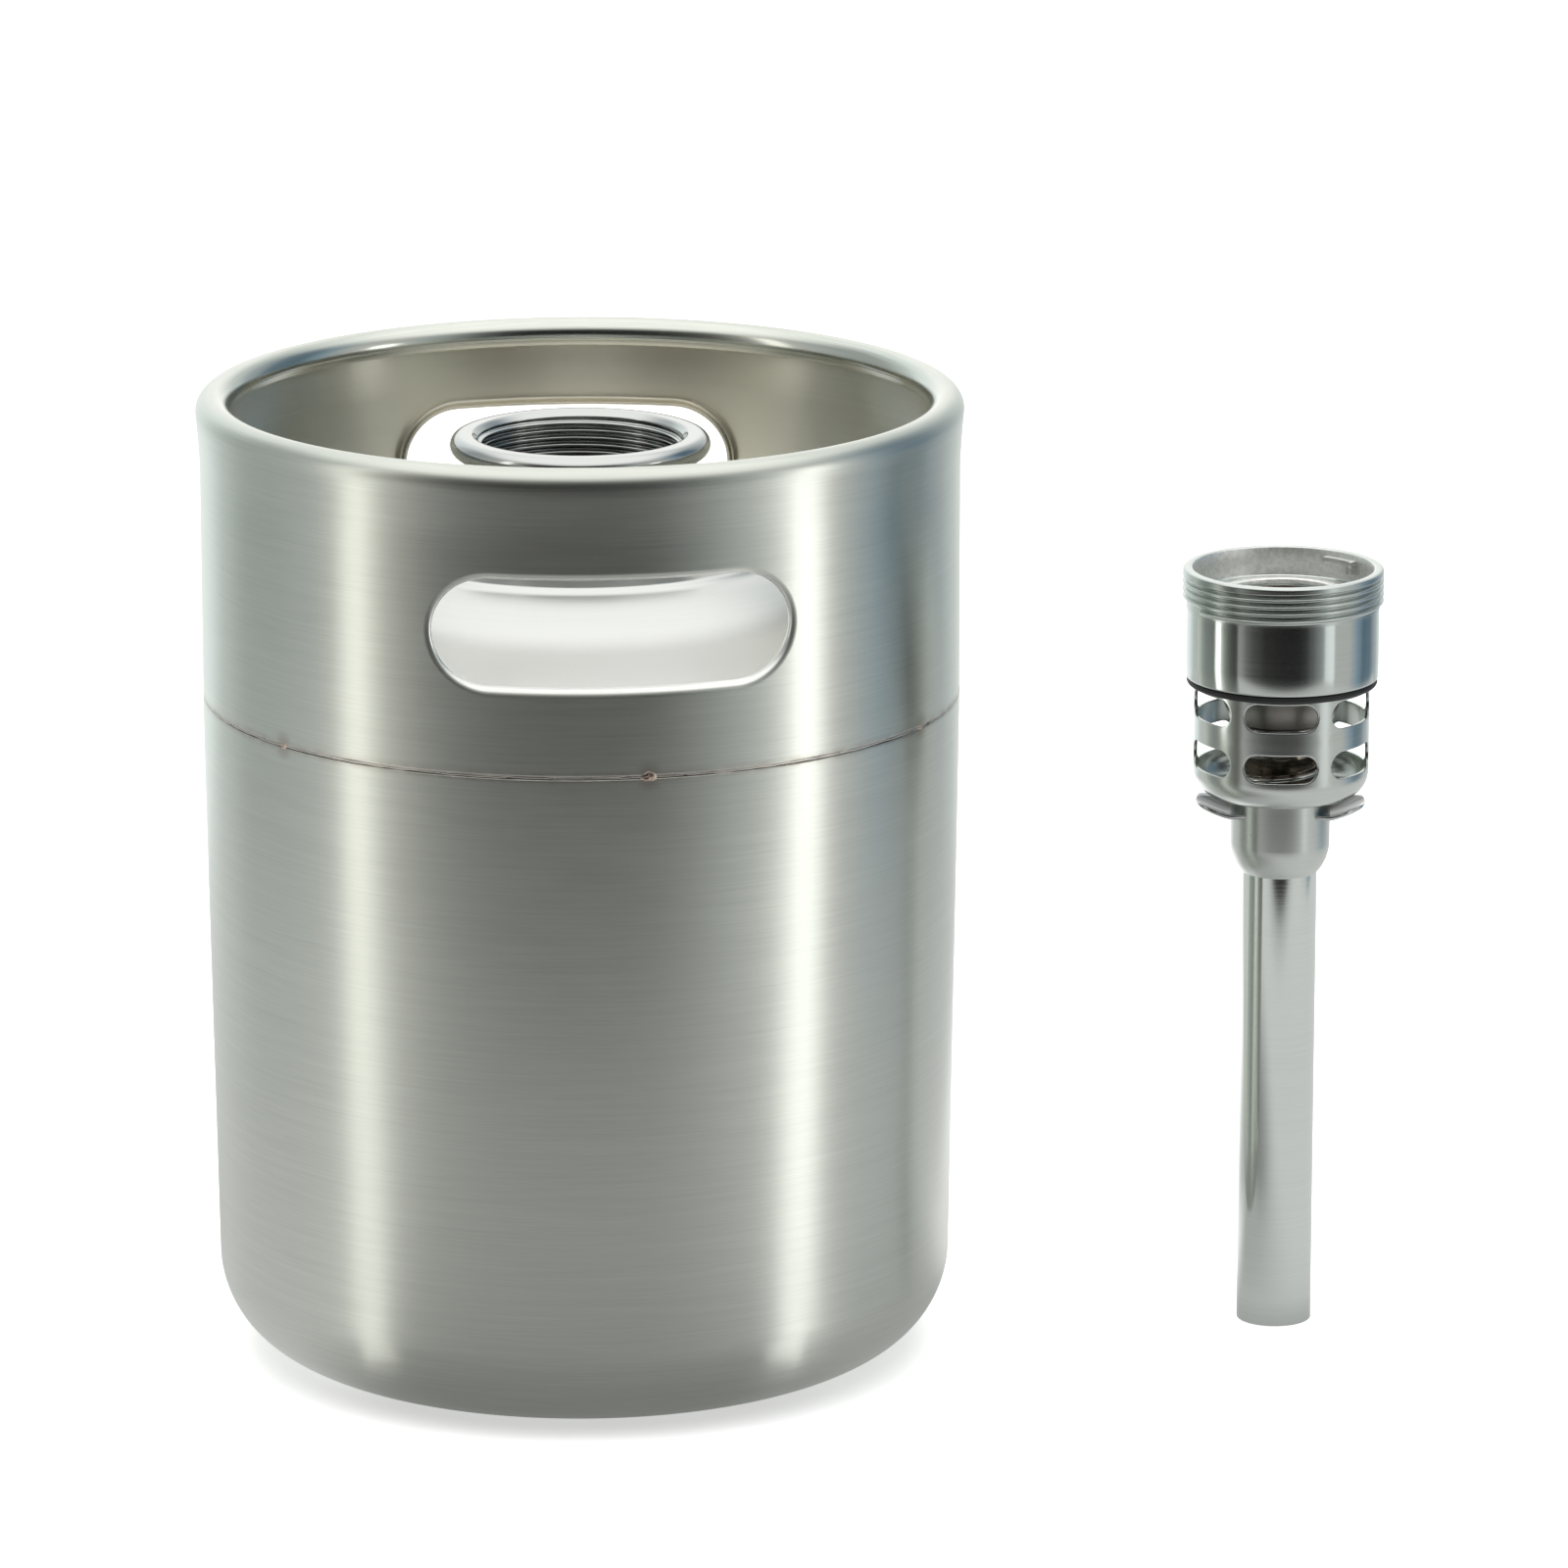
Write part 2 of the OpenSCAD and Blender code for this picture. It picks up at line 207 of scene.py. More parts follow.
# ---------------------------------------------------------------- node materials
class Mat:
    def __init__(self, name):
        self.m = bpy.data.materials.new(name)
        self.m.use_nodes = True
        self.t = self.m.node_tree
        self.t.nodes.clear()
        self.out = self.n("ShaderNodeOutputMaterial")

    def n(self, kind, **props):
        node = self.t.nodes.new(kind)
        for k, v in props.items():
            setattr(node, k, v)
        return node

    def link(self, a, b):
        self.t.links.new(a, b)

    def put(self, socket, value):
        if isinstance(value, bpy.types.NodeSocket):
            self.link(value, socket)
        elif value is not None:
            socket.default_value = value

    def math(self, op, a, b=None, c=None, clamp=False):
        node = self.n("ShaderNodeMath", operation=op, use_clamp=clamp)
        for i, v in enumerate((a, b, c)):
            if v is not None:
                self.put(node.inputs[i], v)
        return node.outputs[0]

    def rng(self, v, a, b, c, d, kind="LINEAR"):
        node = self.n("ShaderNodeMapRange", interpolation_type=kind)
        node.clamp = True
        self.put(node.inputs[0], v)
        for i, x in enumerate((a, b, c, d)):
            self.put(node.inputs[i + 1], x)
        return node.outputs[0]

    def xyz(self, v):
        node = self.n("ShaderNodeSeparateXYZ")
        self.link(v, node.inputs[0])
        return node.outputs

    def vec(self, x, y, z):
        node = self.n("ShaderNodeCombineXYZ")
        for i, v in enumerate((x, y, z)):
            self.put(node.inputs[i], v)
        return node.outputs[0]

    def obj(self):
        return self.n("ShaderNodeTexCoord").outputs["Object"]

    def noise(self, v, scale, detail=2.0, rough=0.5, dist=0.0):
        node = self.n("ShaderNodeTexNoise")
        self.put(node.inputs["Vector"], v)
        node.inputs["Scale"].default_value = scale
        node.inputs["Detail"].default_value = detail
        node.inputs["Roughness"].default_value = rough
        node.inputs["Distortion"].default_value = dist
        return node.outputs["Fac"]

    def mixrgb(self, fac, a, b, mode="MIX"):
        node = self.n("ShaderNodeMix", data_type="RGBA", blend_type=mode)
        self.put(node.inputs[0], fac)
        self.put(node.inputs[6], a)
        self.put(node.inputs[7], b)
        return node.outputs[2]

    def bump(self, h, strength, distance, normal=None):
        node = self.n("ShaderNodeBump")
        node.inputs["Strength"].default_value = strength
        node.inputs["Distance"].default_value = distance
        self.link(h, node.inputs["Height"])
        if normal is not None:
            self.link(normal, node.inputs["Normal"])
        return node.outputs[0]

    def surface(self, **kw):
        b = self.n("ShaderNodeBsdfPrincipled")
        for k, v in kw.items():
            self.put(b.inputs[k.replace("_", " ")], v)
        self.link(b.outputs[0], self.out.inputs["Surface"])
        return b


def rgb(r, g, b):
    return (r, g, b, 1.0)


def around(m, radius):
    """(length round the axis, height, radius) in metres, from the object's own coordinates."""
    x, y, z = m.xyz(m.obj())[:3]
    angle = m.math("ARCTAN2", x, m.math("MULTIPLY", y, -1.0))
    return m.math("MULTIPLY", angle, radius), z, m.math("SQRT", m.math("ADD", m.math("MULTIPLY", x, x), m.math("MULTIPLY", y, y)))


def brushed(name, base, rough, aniso, radius, lines=0.0006, length=0.03, line_bump=0.10, tone=0.10,
            cloud=0.03, rough_var=0.03, warm=None, extra=None, vary=None):
    """Steel brushed round its axis: streaks follow the circumference."""
    m = Mat(name)
    u, z, r = around(m, radius)
    streak = m.noise(m.vec(m.math("MULTIPLY", u, 1.0 / length), m.math("MULTIPLY", z, 1.0 / lines), 0.37), 1.0, 3.0, 0.62)
    broad = m.noise(m.vec(m.math("MULTIPLY", u, 0.45 / length), m.math("MULTIPLY", z, 0.22 / lines), 1.7), 1.0, 2.0, 0.5)
    clouds = m.noise(m.obj(), 22.0, 3.0, 0.55)
    s = m.rng(streak, 0.30, 0.70, 0.0, 1.0)
    w = m.rng(broad, 0.30, 0.70, 0.0, 1.0)
    c = m.rng(clouds, 0.35, 0.65, 0.0, 1.0)
    k = m.math("ADD", m.math("ADD", m.math("MULTIPLY", m.math("SUBTRACT", s, 0.5), tone),
                             m.math("MULTIPLY", m.math("SUBTRACT", w, 0.5), tone * 0.3)),
               m.math("ADD", m.math("MULTIPLY", m.math("SUBTRACT", c, 0.5), cloud), 1.0))
    colour = m.mixrgb(1.0, rgb(*base), m.vec(k, k, k), "MULTIPLY")
    if warm is not None:
        colour = m.mixrgb(m.math("MULTIPLY", c, 0.35), colour, rgb(*warm))
    if extra is not None:
        colour = extra(m, colour, u, z, r)
    rr = m.math("ADD", m.math("MULTIPLY", m.math("SUBTRACT", s, 0.5), rough_var),
                m.math("ADD", m.math("MULTIPLY", m.math("SUBTRACT", c, 0.5), rough_var * 0.5), rough))
    if vary is not None:
        rr, aniso = vary(m, rr, aniso, z, r)
    normal = m.bump(m.math("ADD", s, m.math("MULTIPLY", w, 0.3)), line_bump, 0.00002)
    tangent = m.n("ShaderNodeTangent", direction_type="RADIAL", axis="Z").outputs[0]
    b = m.surface(Base_Color=colour, Metallic=1.0, Roughness=rr, Anisotropic=aniso, Anisotropic_Rotation=0.25, Normal=normal)
    m.link(tangent, b.inputs["Tangent"])
    return m.m


def plain_steel(name, base, rough, grain=900.0, bump=0.05, rough_var=0.05, tone=0.06, patch=60.0, extra=None):
    m = Mat(name)
    fine_n = m.noise(m.obj(), grain, 3.0, 0.6)
    big = m.noise(m.obj(), patch, 3.0, 0.55)
    f = m.rng(fine_n, 0.3, 0.7, 0.0, 1.0)
    g = m.rng(big, 0.3, 0.7, 0.0, 1.0)
    k = m.math("ADD", m.math("MULTIPLY", m.math("SUBTRACT", g, 0.5), tone), 1.0)
    colour = m.mixrgb(1.0, rgb(*base), m.vec(k, k, k), "MULTIPLY")
    if extra is not None:
        colour = extra(m, colour)
    rr = m.math("ADD", m.math("MULTIPLY", m.math("SUBTRACT", g, 0.5), rough_var), rough)
    m.surface(Base_Color=colour, Metallic=1.0, Roughness=rr, Normal=m.bump(f, bump, 0.00005))
    return m.m


def rubber(name, base, rough, bump=0.15, spec=0.4):
    m = Mat(name)
    f = m.noise(m.obj(), 1400.0, 3.0, 0.6)
    g = m.rng(m.noise(m.obj(), 120.0, 2.0, 0.5), 0.3, 0.7, 0.0, 1.0)
    k = m.math("ADD", m.math("MULTIPLY", g, 0.3), 0.85)
    colour = m.mixrgb(1.0, rgb(*base), m.vec(k, k, k), "MULTIPLY")
    b = m.surface(Base_Color=colour, Roughness=m.math("ADD", m.math("MULTIPLY", g, 0.1), rough), Normal=m.bump(f, bump, 0.00004))
    b.inputs["Specular IOR Level"].default_value = spec
    return m.m


TACKS = [-49.0, 11.1, 63.0, 88.0, 128.0, 175.0, 222.0, 262.0]
SEAM = 165.6


def seam_tint(m, colour, u, z, r):
    """Heat tint beside the seam and round each tack, and painted sheen on the inside of the skirt."""
    near = m.rng(m.math("ABSOLUTE", m.math("SUBTRACT", z, SEAM / 1000)), 0.0, 0.0022, 1.0, 0.0, "SMOOTHSTEP")
    n = m.noise(m.obj(), 260.0, 3.0, 0.6)
    t = m.math("MULTIPLY", near, m.rng(n, 0.35, 0.65, 0.15, 0.55))
    for a in TACKS:
        du = m.math("SUBTRACT", u, math.radians((a + 180) % 360 - 180) * 0.0925)
        d = m.math("SQRT", m.math("ADD", m.math("MULTIPLY", du, du),
                                  m.math("MULTIPLY", m.math("SUBTRACT", z, SEAM / 1000), m.math("SUBTRACT", z, SEAM / 1000))))
        t = m.math("MAXIMUM", t, m.rng(d, 0.0012, 0.0042, 0.5, 0.0, "SMOOTHSTEP"))
    colour = m.mixrgb(t, colour, rgb(0.36, 0.30, 0.25))
    # the inside of the skirt is painted paler, a painted sheen: warm cream at the front, pale grey at the back, weaker
    # at the sides
    flare = m.math("MULTIPLY", m.math("POWER", m.rng(z, 0.2210, 0.2354, 0.0, 1.0), 1.4), 0.0009)
    inside = m.math("MULTIPLY", m.rng(m.math("SUBTRACT", r, flare), 0.0921, 0.0923, 1.0, 0.0), m.rng(z, 0.1662, 0.1668, 0.0, 1.0))
    low = m.rng(z, 0.2352, 0.2340, 0.0, 1.0)
    back = m.rng(m.math("ABSOLUTE", u), 0.0925 * 2.25, 0.0925 * 2.95, 0.0, 1.0, "SMOOTHSTEP")
    front = m.rng(m.math("ABSOLUTE", u), 0.0925 * 0.7, 0.0925 * 1.2, 1.0, 0.0, "SMOOTHSTEP")
    k = m.math("MULTIPLY", m.math("MULTIPLY", inside, low), m.math("ADD", 0.35, m.math("MULTIPLY", m.math("MAXIMUM", back, front), 0.6)))
    return m.mixrgb(k, colour, m.mixrgb(front, rgb(0.87, 0.82, 0.68), rgb(0.92, 0.92, 0.90)))


def rim_and_inside(m, rr, aniso, z, r):
    """The rolled rim is smoother than the wall: the inner half of the curl is less rough, and the whole rim less
    anisotropic.
    """
    high = m.rng(z, 0.2325, 0.2352, 0.0, 1.0, "SMOOTHSTEP")
    inner_half = m.math("MULTIPLY", high, m.rng(r, 0.0872, 0.0896, 1.0, 0.0, "SMOOTHSTEP"))
    keep = m.math("SUBTRACT", 1.0, inner_half)
    rr = m.math("ADD", m.math("MULTIPLY", rr, keep), m.math("MULTIPLY", inner_half, 0.19))
    an = m.math("MULTIPLY", aniso, m.math("SUBTRACT", 1.0, m.math("MULTIPLY", high, 0.45)))
    return rr, an


# keg steel: heat tint at the seam, and painted sheen inside the skirt
KEG = brushed("keg_brushed", (0.592, 0.612, 0.562), 0.33, 0.86, 0.0925, lines=0.00035, length=0.022, tone=0.10, extra=seam_tint,
              vary=rim_and_inside)
def head_flank(m, colour, u, z, r):
    """The steep flank under the crown is painted paler, a painted sheen standing in for the brighter reflection it
    shows.
    """
    k = m.rng(z, 0.1968, 0.1895, 0.0, 1.0, "SMOOTHSTEP")
    return m.mixrgb(k, colour, rgb(0.985, 0.985, 0.955))


def head_matt(m, rr, aniso, z, r):
    k = m.rng(z, 0.1968, 0.1895, 0.0, 1.0, "SMOOTHSTEP")
    return m.math("ADD", rr, m.math("MULTIPLY", k, 0.20)), m.math("MULTIPLY", m.math("SUBTRACT", 1.0, m.math("MULTIPLY", k, 0.5)), aniso)


HEAD = brushed("head_satin", (0.63, 0.64, 0.62), 0.31, 0.60, 0.070, lines=0.0005, tone=0.05, line_bump=0.05, extra=head_flank, vary=head_matt)
NECK = brushed("neck_turned", (0.53, 0.54, 0.53), 0.13, 0.20, 0.030, lines=0.0003, length=0.2, tone=0.02, line_bump=0.004, cloud=0.02, rough_var=0.01)
WELD = plain_steel("weld_ground", (0.50, 0.475, 0.44), 0.30, 700.0, 0.25, 0.10, 0.25, 240.0)
TACK = plain_steel("tack_metal", (0.47, 0.37, 0.31), 0.32, 900.0, 0.25, 0.10, 0.3, 420.0)
def cup_inside(m, rr, aniso, z, r):
    """The cup inside the lip is blasted, not turned."""
    k = m.math("MULTIPLY", m.rng(r, 0.02235, 0.0226, 1.0, 0.0), m.rng(z, 0.1872, 0.1876, 0.0, 1.0))
    thread = m.math("MULTIPLY", m.rng(r, 0.0227, 0.0229, 0.0, 1.0), m.rng(z, 0.1842, 0.1846, 0.0, 1.0))
    keep = m.math("SUBTRACT", 1.0, m.math("MAXIMUM", k, thread))
    own = m.math("ADD", m.math("MULTIPLY", k, 0.46), m.math("MULTIPLY", thread, 0.27))
    return (m.math("ADD", m.math("MULTIPLY", rr, keep), own), m.math("MULTIPLY", keep, aniso))


def cup_pale(m, colour, u, z, r):
    k = m.math("MULTIPLY", m.rng(r, 0.02235, 0.0226, 1.0, 0.0), m.rng(z, 0.1872, 0.1876, 0.0, 1.0))
    g = m.rng(m.noise(m.obj(), 800.0, 3.0, 0.65), 0.3, 0.7, 0.76, 1.0)
    return m.mixrgb(k, colour, m.vec(g, g, m.math("MULTIPLY", g, 0.97)))


HOUSING = brushed("housing_turned", (0.58, 0.615, 0.59), 0.15, 0.60, 0.024, lines=0.00025, length=0.06, tone=0.05, line_bump=0.04, cloud=0.02,
                  extra=cup_pale, vary=cup_inside)
CAST = plain_steel("cup_blasted", (0.62, 0.62, 0.60), 0.33, 520.0, 0.9, 0.10, 0.12, 150.0)
CAGE = brushed("cage_pressed", (0.605, 0.635, 0.605), 0.22, 0.35, 0.0215, lines=0.0003, length=0.03, tone=0.05, line_bump=0.04, cloud=0.02)
def tube_stain(m, colour, u, z, r):
    """The tube is tinted dark brown above about 119 mm, the part that sits inside bell and cage."""
    n = m.rng(m.noise(m.obj(), 300.0, 3.0, 0.6), 0.3, 0.7, 0.8, 1.0)
    return m.mixrgb(m.math("MULTIPLY", m.rng(z, 0.1180, 0.1200, 0.0, 1.0), n), colour, rgb(0.33, 0.27, 0.22))


BELL = brushed("bell_drawn", (0.62, 0.65, 0.62), 0.29, 0.55, 0.0123, lines=0.0003, length=0.03, tone=0.05, line_bump=0.05, cloud=0.03)
TUBE = brushed("tube_polished", (0.69, 0.73, 0.695), 0.07, 0.30, 0.0092, lines=0.0003, length=0.03, tone=0.04, line_bump=0.03, cloud=0.02, rough_var=0.02,
               extra=tube_stain)
def wing_edge(m, colour):
    """The cut edge of the wings keeps the steel's colour; their dished face is painted near black with fine streaks, a
    painted dark reflection.
    """
    x, y, z = m.xyz(m.obj())[:3]
    a = m.math("SUBTRACT", m.math("ABSOLUTE", x), 0.0123)
    d = m.math("SQRT", m.math("ADD", m.math("MULTIPLY", a, a), m.math("MULTIPLY", y, y)))
    face = m.rng(m.noise(m.vec(m.math("MULTIPLY", x, 60.0), m.math("MULTIPLY", y, 900.0), 0.0), 1.0, 2.0, 0.5), 0.35, 0.65, 0.01, 0.16)
    return m.mixrgb(m.rng(d, 0.0080, 0.0091, 0.0, 1.0, "SMOOTHSTEP"), m.vec(face, face, face), colour)


WING = plain_steel("wing_polished", (0.58, 0.59, 0.59), 0.10, 900.0, 0.05, 0.05, 0.06, 200.0, extra=wing_edge)
WIRE = plain_steel("spring_wire", (0.62, 0.62, 0.61), 0.16, 1500.0, 0.05, 0.05, 0.06, 300.0)
CUP = plain_steel("cup_matt", (0.46, 0.445, 0.42), 0.36, 900.0, 0.10, 0.06, 0.10, 120.0)
BLACK = rubber("rubber_black", (0.012, 0.012, 0.013), 0.42)
BROWN = rubber("rubber_brown", (0.085, 0.055, 0.042), 0.40)


# ---------------------------------------------------------------- keg
def vessel():
    p = [(0, 5.2), (27, 5.0), (52.4, 4.2), (56.4, 3.0), (58.5, 0.9), (60.5, 0.0)]
    p += arc(66.4, 24, 24, -90, -0.93, 32)
    p += [(90.69, 41), (91.03, 61), (91.38, 82), (91.76, 104.2), (92.02, 120), (92.25, 135), (92.42, 146), (92.53, 155), (92.6, 161), (92.6, 164.5)]
    p += arc(92.2, 164.75, 0.4, 0, 90, 4)
    p += [(91.6, 165.1), (91.6, 160), (90.75, 104), (89.69, 41)]
    p += arc(66.4, 24, 23, -0.93, -90, 24)
    p += [(60.2, 1.0), (58.6, 1.9), (56.0, 4.0), (52.4, 5.2), (27, 6.0), (0, 6.2)]
    return lathe_data(p, 288)


def head():
    """Flat crown, small step, round shoulder and the bend down to the wall."""
    k = math.radians(12)
    sx, sz, sr = 54.4 - 32 * math.sin(k), 200.6 - 32 * math.cos(k), 32
    dx, dz = 79.6 - sx, sz - 163.4
    slope = math.degrees(math.atan2(dz, dx)) - math.degrees(math.asin((12 - sr) / math.hypot(dx, dz)))
    p = [(90.6, 157.6), (91.6, 157.6), (91.6, 160)]
    p += arc(79.6, 163.4, 12, 0, 90 - slope, 18)
    p += arc(sx, sz, sr, 90 - slope, 78, 34)
    p += [(54.0, 200.70), (53.6, 200.83), (53.2, 201.0), (52.85, 201.22), (52.55, 201.47)]
    p += arc(51, 200.2, 2, 50, 90, 8)
    p += [(40, 202.2), (28.4, 202.2), (28.4, 201.2), (40, 201.2)]
    p += arc(51, 200.2, 1, 90, 50, 6)
    p += [(52.3, 200.34), (53.2, 199.88)]
    p += arc(sx, sz, sr - 1, 78, 90 - slope, 24)
    p += arc(79.6, 163.4, 11, 90 - slope, 0, 16)
    return lathe_data(p, 240)


R_OUT, R_IN, T = 92.6, 91.8, 0.8
HOLES = [dict(turn=6.2, z=199.9, i0=-21, i1=31, flat=29.2), dict(turn=183.7, z=204.0, i0=121, i1=173, flat=27.4)]
H_R, H_BEND, H_END = 13.1, 2.0, 3.8


def skirt():
    nc = 288
    rows = [166.02, 166.3, 168, 171, 174.5, 178] + [178 + 43.0 * k / 26 for k in range(1, 27)] + [223, 225, 227, 229, 231, 233, 234.2, 235.4]
    j0, j1 = 5, 5 + 26
    verts, faces, normals = [], [], []

    def add(p, nrm=None):
        verts.append(tuple(p))
        normals.append((0, 0, 0) if nrm is None else tuple(nrm))
        return len(verts) - 1

    def ang(i):
        return math.radians(i * 360.0 / nc)

    outer = [[0] * nc for _ in rows]
    inner = [[0] * nc for _ in rows]
    for j, z in enumerate(rows):
        for i in range(nc):
            a = ang(i)
            s, c = math.sin(a), -math.cos(a)
            dead = any(((i - h["i0"]) % nc) and 0 < ((i - h["i0"]) % nc) < h["i1"] - h["i0"] and j0 < j < j1 for h in HOLES)
            if dead:
                outer[j][i] = inner[j][i] = -1
                continue
            fl = 0.9 * max(0.0, (z - 221.0) / 14.4) ** 1.4
            outer[j][i] = add(((R_OUT + fl) * s, (R_OUT + fl) * c, z), (s, c, 0) if 0 < j <= j1 else None)
            inner[j][i] = add(((R_IN + fl) * s, (R_IN + fl) * c, z), (-s, -c, 0) if 0 < j <= j1 else None)
    for j in range(len(rows) - 1):
        for i in range(nc):
            i2 = (i + 1) % nc
            if any((i - h["i0"]) % nc < h["i1"] - h["i0"] and j0 <= j < j1 for h in HOLES):
                continue
            faces.append((outer[j][i], outer[j][i2], outer[j + 1][i2], outer[j + 1][i]))
            faces.append((inner[j][i2], inner[j][i], inner[j + 1][i], inner[j + 1][i2]))
    # rounded lower edge
    mid = [add(((R_OUT - 0.15) * math.sin(ang(i)), -(R_OUT - 0.15) * math.cos(ang(i)), 165.85)) for i in range(nc)]
    for i in range(nc):
        i2 = (i + 1) % nc
        faces.append((mid[i], mid[i2], outer[0][i2], outer[0][i]))
        faces.append((inner[0][i], inner[0][i2], mid[i2], mid[i]))
    # the rolled rim
    curl = arc(89.3, 235.4, 4.2, 0, 180, 26)[1:]
    curl += [(85.1, 235.1), (85.22, 234.9), (85.55, 234.8), (85.82, 234.68), (85.9, 234.45), (85.9, 233.3), (86.02, 233.12),
             (86.4, 233.1), (86.62, 233.2), (86.7, 233.5), (86.7, 234.8), (86.5, 235.1), (86.1, 235.4)]
    curl += arc(89.3, 235.4, 3.4, 170, 0, 18)[:-1]
    last = outer[-1]
    for r, z in curl:
        ring = [add((r * math.sin(ang(i)), -r * math.cos(ang(i)), z)) for i in range(nc)]
        for i in range(nc):
            i2 = (i + 1) % nc
            faces.append((last[i], last[i2], ring[i2], ring[i]))
        last = ring
    for i in range(nc):
        i2 = (i + 1) % nc
        faces.append((last[i], last[i2], inner[-1][i2], inner[-1][i]))
    # the holes
    for h in HOLES:
        t0 = math.radians(h["turn"])
        ct, st = math.cos(t0), math.sin(t0)
        loop = [(i, j0) for i in range(h["i0"], h["i1"])] + [(h["i1"], j) for j in range(j0, j1)]
        loop += [(i, j1) for i in range(h["i1"], h["i0"], -1)] + [(h["i0"], j) for j in range(j1, j0, -1)]
        base = []
        for i, j in loop:
            x = R_OUT * math.sin(ang(i) - t0)
            y = rows[j] - h["z"]
            mx = max(-h["flat"], min(h["flat"], x))
            d = math.hypot(x - mx, y)
            base.append((mx, (x - mx) / d, y / d, d))

        def place(rho, depth, shrink, radial, k):
            mx, nx, ny, _ = base[k]
            x = (mx + nx * rho) * (1 - T / R_OUT * shrink)
            rad = R_OUT - radial
            y = -math.sqrt(rad * rad - x * x) + depth
            return (x * ct - y * st, x * st + y * ct, h["z"] + ny * rho)

        n = len(loop)
        ro = H_R + H_BEND
        prev = [outer[j][i % nc] for i, j in loop]
        steps = [0.72, 0.5, 0.33, 0.2, 0.1, 0.04, 0.0]
        chain = []
        for t in steps:
            chain.append([(ro + (base[k][3] - ro) * t, 0.0, 0.0, 0.0) for k in range(n)])
        for q in range(1, 8):
            a = math.radians(90 * q / 7)
            chain.append([(ro - H_BEND * math.sin(a), H_BEND * (1 - math.cos(a)), 0, 0)] * n)
        chain.append([(H_R, H_END - 0.35, 0, 0)] * n)
        for q in range(1, 5):
            a = math.radians(90 * q / 4)
            chain.append([(H_R + 0.4 * (1 - math.cos(a)), H_END - 0.4 + 0.4 * math.sin(a), 0, 0)] * n)
        for q in range(1, 5):
            a = math.radians(90 * q / 4)
            chain.append([(H_R + 0.4 + 0.4 * math.sin(a), H_END - 0.4 + 0.4 * math.cos(a), 0, 0)] * n)
        chain.append([(H_R + T, H_BEND + 0.05, 0, 0)] * n)
        for q in range(1, 6):
            a = math.radians(90 * (1 - q / 5))
            chain.append([(ro - (H_BEND - T) * math.sin(a), T + (H_BEND - T) * (1 - math.cos(a)) if q < 5 else T, 0, 0)] * n)
        flagged = {}
        for ci, spec in enumerate(chain):
            ring = []
            for k in range(n):
                rho, depth, shrink, radial = spec[k]
                p = place(rho, depth, shrink, radial, k)
                nrm = None
                if ci < len(steps):
                    rr = math.hypot(p[0], p[1])
                    nrm = (p[0] / rr, p[1] / rr, 0)
                ring.append(add(p, nrm))
            for k in range(n):
                k2 = (k + 1) % n
                faces.append((prev[k], prev[k2], ring[k2], ring[k]))
            prev = ring
        for t in steps[::-1][1:]:
            ring = []
            for k in range(n):
                p = place(ro + (base[k][3] - ro) * t, 0.0, t, T, k)
                rr = math.hypot(p[0], p[1])
                ring.append(add(p, (-p[0] / rr, -p[1] / rr, 0)))
            for k in range(n):
                k2 = (k + 1) % n
                faces.append((prev[k], prev[k2], ring[k2], ring[k]))
            prev = ring
        edge = [inner[j][i % nc] for i, j in loop]
        for k in range(n):
            k2 = (k + 1) % n
            faces.append((prev[k], prev[k2], edge[k2], edge[k]))
    # drop vertices nothing uses
    used = sorted({i for f in faces for i in f})
    at = {o: n for n, o in enumerate(used)}
    return [verts[i] for i in used], [tuple(at[i] for i in f) for f in faces], [normals[i] for i in used]


def inner_thread(z0, z1, first, last, root, crest, n=200, step=0.13):
    """Rings from z0 up to z1 with a right-hand thread between first and last."""
    rings = []
    m = int(round((z1 - z0) / step))
    for i in range(m + 1):
        z = z0 + (z1 - z0) * i / m
        ring = []
        for k in range(n):
            a = 2 * math.pi * k / n
            turns = (z - first) / PITCH - a / (2 * math.pi)
            t = turns - math.floor(turns)
            t = abs(t - 0.5) * 2          # 1 at the valley, 0 on the crest's middle
            h = max(0.0, min(1.0, (0.62 - t) / 0.50))
            h = h * h * (3 - 2 * h)
            grow = max(0.0, min(1.0, (z - first) / 1.4)) * max(0.0, min(1.0, (last - z) / 0.8))
            ring.append((root + (crest - root) * h * grow, a, z))
        rings.append(ring)
    return rings


def neck():
    n = 220
    rings = []

    def plain(r, z):
        return [(r, 2 * math.pi * k / n, z) for k in range(n)]

    prof = [(25.0, 199.25), (28.4, 199.25), (28.4, 205), (28.4, 214), (28.4, 222.5)]
    prof += [(28.43, 223.05), (28.65, 223.27)]
    prof += arc(28.9, 226.15, 2.85, -88, 80, 22)
    prof += [(28.6, 229.0), (27.2, 229.0), (26.5, 228.98), (26.2, 228.85), (25.85, 228.5), (25.4, 228.1), (25.1, 227.8)]
    for r, z in prof:
        rings.append(plain(r, z))
    rings += inner_thread(199.3, 227.7, 212.1, 227.5, 25.0, 23.88, n)[::-1]
    pts = [[(r * math.cos(a), r * math.sin(a), z) for r, a, z in ring] for ring in rings]
    return rings_to_mesh(pts)


def neck_bead():
    ph = RNG.uniform(0, 6.28, 6)

    def wob(i, r, z, a):
        k = 0.10 * math.sin(23 * a + ph[0]) + 0.08 * math.sin(41 * a + ph[1]) + 0.05 * math.sin(67 * a + ph[2])
        return r + k * (1 if r > 29 else 0), z + 0.05 * math.sin(31 * a + ph[3]) * (1 if z > 202.5 else 0)

    p = [(28.4, 202.22), (30.55, 202.22), (30.45, 202.8), (30.05, 203.4), (29.5, 203.8), (28.9, 204.0), (28.4, 204.05)]
    return lathe_data(p, 240, wob)


